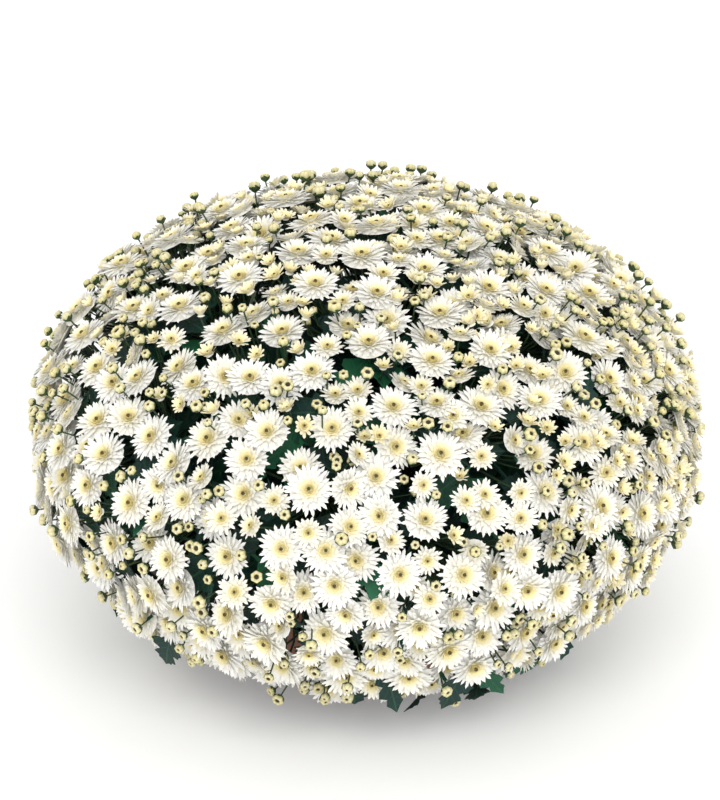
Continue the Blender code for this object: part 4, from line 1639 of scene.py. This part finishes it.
def build_camera():
    camera_data = bpy.data.cameras.new("camera")
    camera = bpy.data.objects.new("camera", camera_data)
    bpy.context.scene.collection.objects.link(camera)
    bpy.context.scene.camera = camera
    low, high = SOLID_BOX
    pixel = (high.x - low.x) / BALL_WIDTH
    camera_data.sensor_width = SENSOR_WIDTH
    camera_data.lens = SENSOR_WIDTH * DISTANCE / (pixel * PICTURE[1])
    rise = math.radians(ELEVATION)
    back = Vector((0, -math.cos(rise), math.sin(rise)))
    up = Vector((0, math.sin(rise), math.cos(rise)))
    target = Vector(((low.x + high.x) / 2, 0, DOME_CENTRE.z))
    target -= Vector((1, 0, 0)) * (BALL_MIDDLE[0] - PICTURE[0] / 2) * pixel
    target += up * (BALL_MIDDLE[1] - PICTURE[1] / 2) * pixel
    camera.location = target + back * DISTANCE
    camera.rotation_euler = (-back).to_track_quat("-Z", "Y").to_euler()
    camera_data.clip_start, camera_data.clip_end = 0.1, 60.0


# Operators, panel and the run


class CHRYSANTHEMUM_OT_sprays(bpy.types.Operator):
    """Grow the flowering sprays with their blooms, buds, stalks and small leaves"""

    bl_idname = "chrysanthemum.sprays"
    bl_label = "Grow Flowering Sprays"

    def execute(self, context):
        for index in range(SPRAY_COUNT):
            piece = build_spray(index, f"flowering_spray_{index + 1:02d}")
            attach(piece, "root")
            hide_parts(f"spray_{index + 1:02d}")
        return {"FINISHED"}


class CHRYSANTHEMUM_OT_stems(bpy.types.Operator):
    """Grow the leafy stems from the soil to the sprays"""

    bl_idname = "chrysanthemum.stems"
    bl_label = "Grow Leafy Stems"

    def execute(self, context):
        for stem in plant()[2]:
            piece = build_stem(stem, f"branching_stem_{stem.name[-2:]}")
            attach(piece, "root")
            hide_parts(stem.name)
        return {"FINISHED"}


class CHRYSANTHEMUM_OT_pot(bpy.types.Operator):
    """Make the nursery pot"""

    bl_idname = "chrysanthemum.pot"
    bl_label = "Make Pot"

    def execute(self, context):
        pot = build_pot()
        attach(pot, "root")
        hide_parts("pot")
        return {"FINISHED"}


class CHRYSANTHEMUM_OT_soil(bpy.types.Operator):
    """Fill the pot with potting soil"""

    bl_idname = "chrysanthemum.soil"
    bl_label = "Fill With Soil"

    def execute(self, context):
        soil = build_soil()
        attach(soil, "root")
        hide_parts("soil")
        return {"FINISHED"}


class CHRYSANTHEMUM_OT_stage(bpy.types.Operator):
    """Set up the studio floor, the soft light and the camera"""

    bl_idname = "chrysanthemum.stage"
    bl_label = "Set Up Studio"

    def execute(self, context):
        build_floor()
        build_lights()
        build_camera()
        context.scene.view_settings.view_transform = "Standard"
        return {"FINISHED"}


class CHRYSANTHEMUM_PT_plant(bpy.types.Panel):
    """Sizes, colours and steps of the pot chrysanthemum"""

    bl_idname = "CHRYSANTHEMUM_PT_plant"
    bl_label = "Pot Chrysanthemum"
    bl_space_type = "VIEW_3D"
    bl_region_type = "UI"
    bl_category = "Chrysanthemum"

    def draw(self, context):
        for group in SETTINGS:
            settings = getattr(context.scene, group)
            for name in settings.__annotations__:
                self.layout.prop(settings, name)
        for operator in OPERATORS:
            self.layout.operator(operator.bl_idname)


OPERATORS = (
    CHRYSANTHEMUM_OT_sprays,
    CHRYSANTHEMUM_OT_stems,
    CHRYSANTHEMUM_OT_pot,
    CHRYSANTHEMUM_OT_soil,
    CHRYSANTHEMUM_OT_stage,
)
SETTINGS = {
    "chrysanthemum_flowers": FlowerSettings,
    "chrysanthemum_foliage": FoliageSettings,
    "chrysanthemum_colours": ColourSettings,
}
CLASSES = (*SETTINGS.values(), *OPERATORS, CHRYSANTHEMUM_PT_plant)


def register():
    for item in CLASSES:
        bpy.utils.register_class(item)
    for name, group in SETTINGS.items():
        setattr(bpy.types.Scene, name, PointerProperty(type=group))


def unregister():
    for name in SETTINGS:
        delattr(bpy.types.Scene, name)
    for item in reversed(CLASSES):
        bpy.utils.unregister_class(item)


def main():
    register()
    bpy.ops.chrysanthemum.sprays()
    bpy.ops.chrysanthemum.stems()
    drop_collection(growing_shapes())
    bpy.ops.chrysanthemum.pot()
    bpy.ops.chrysanthemum.soil()
    bpy.ops.chrysanthemum.stage()


if __name__ == "__main__":
    main()
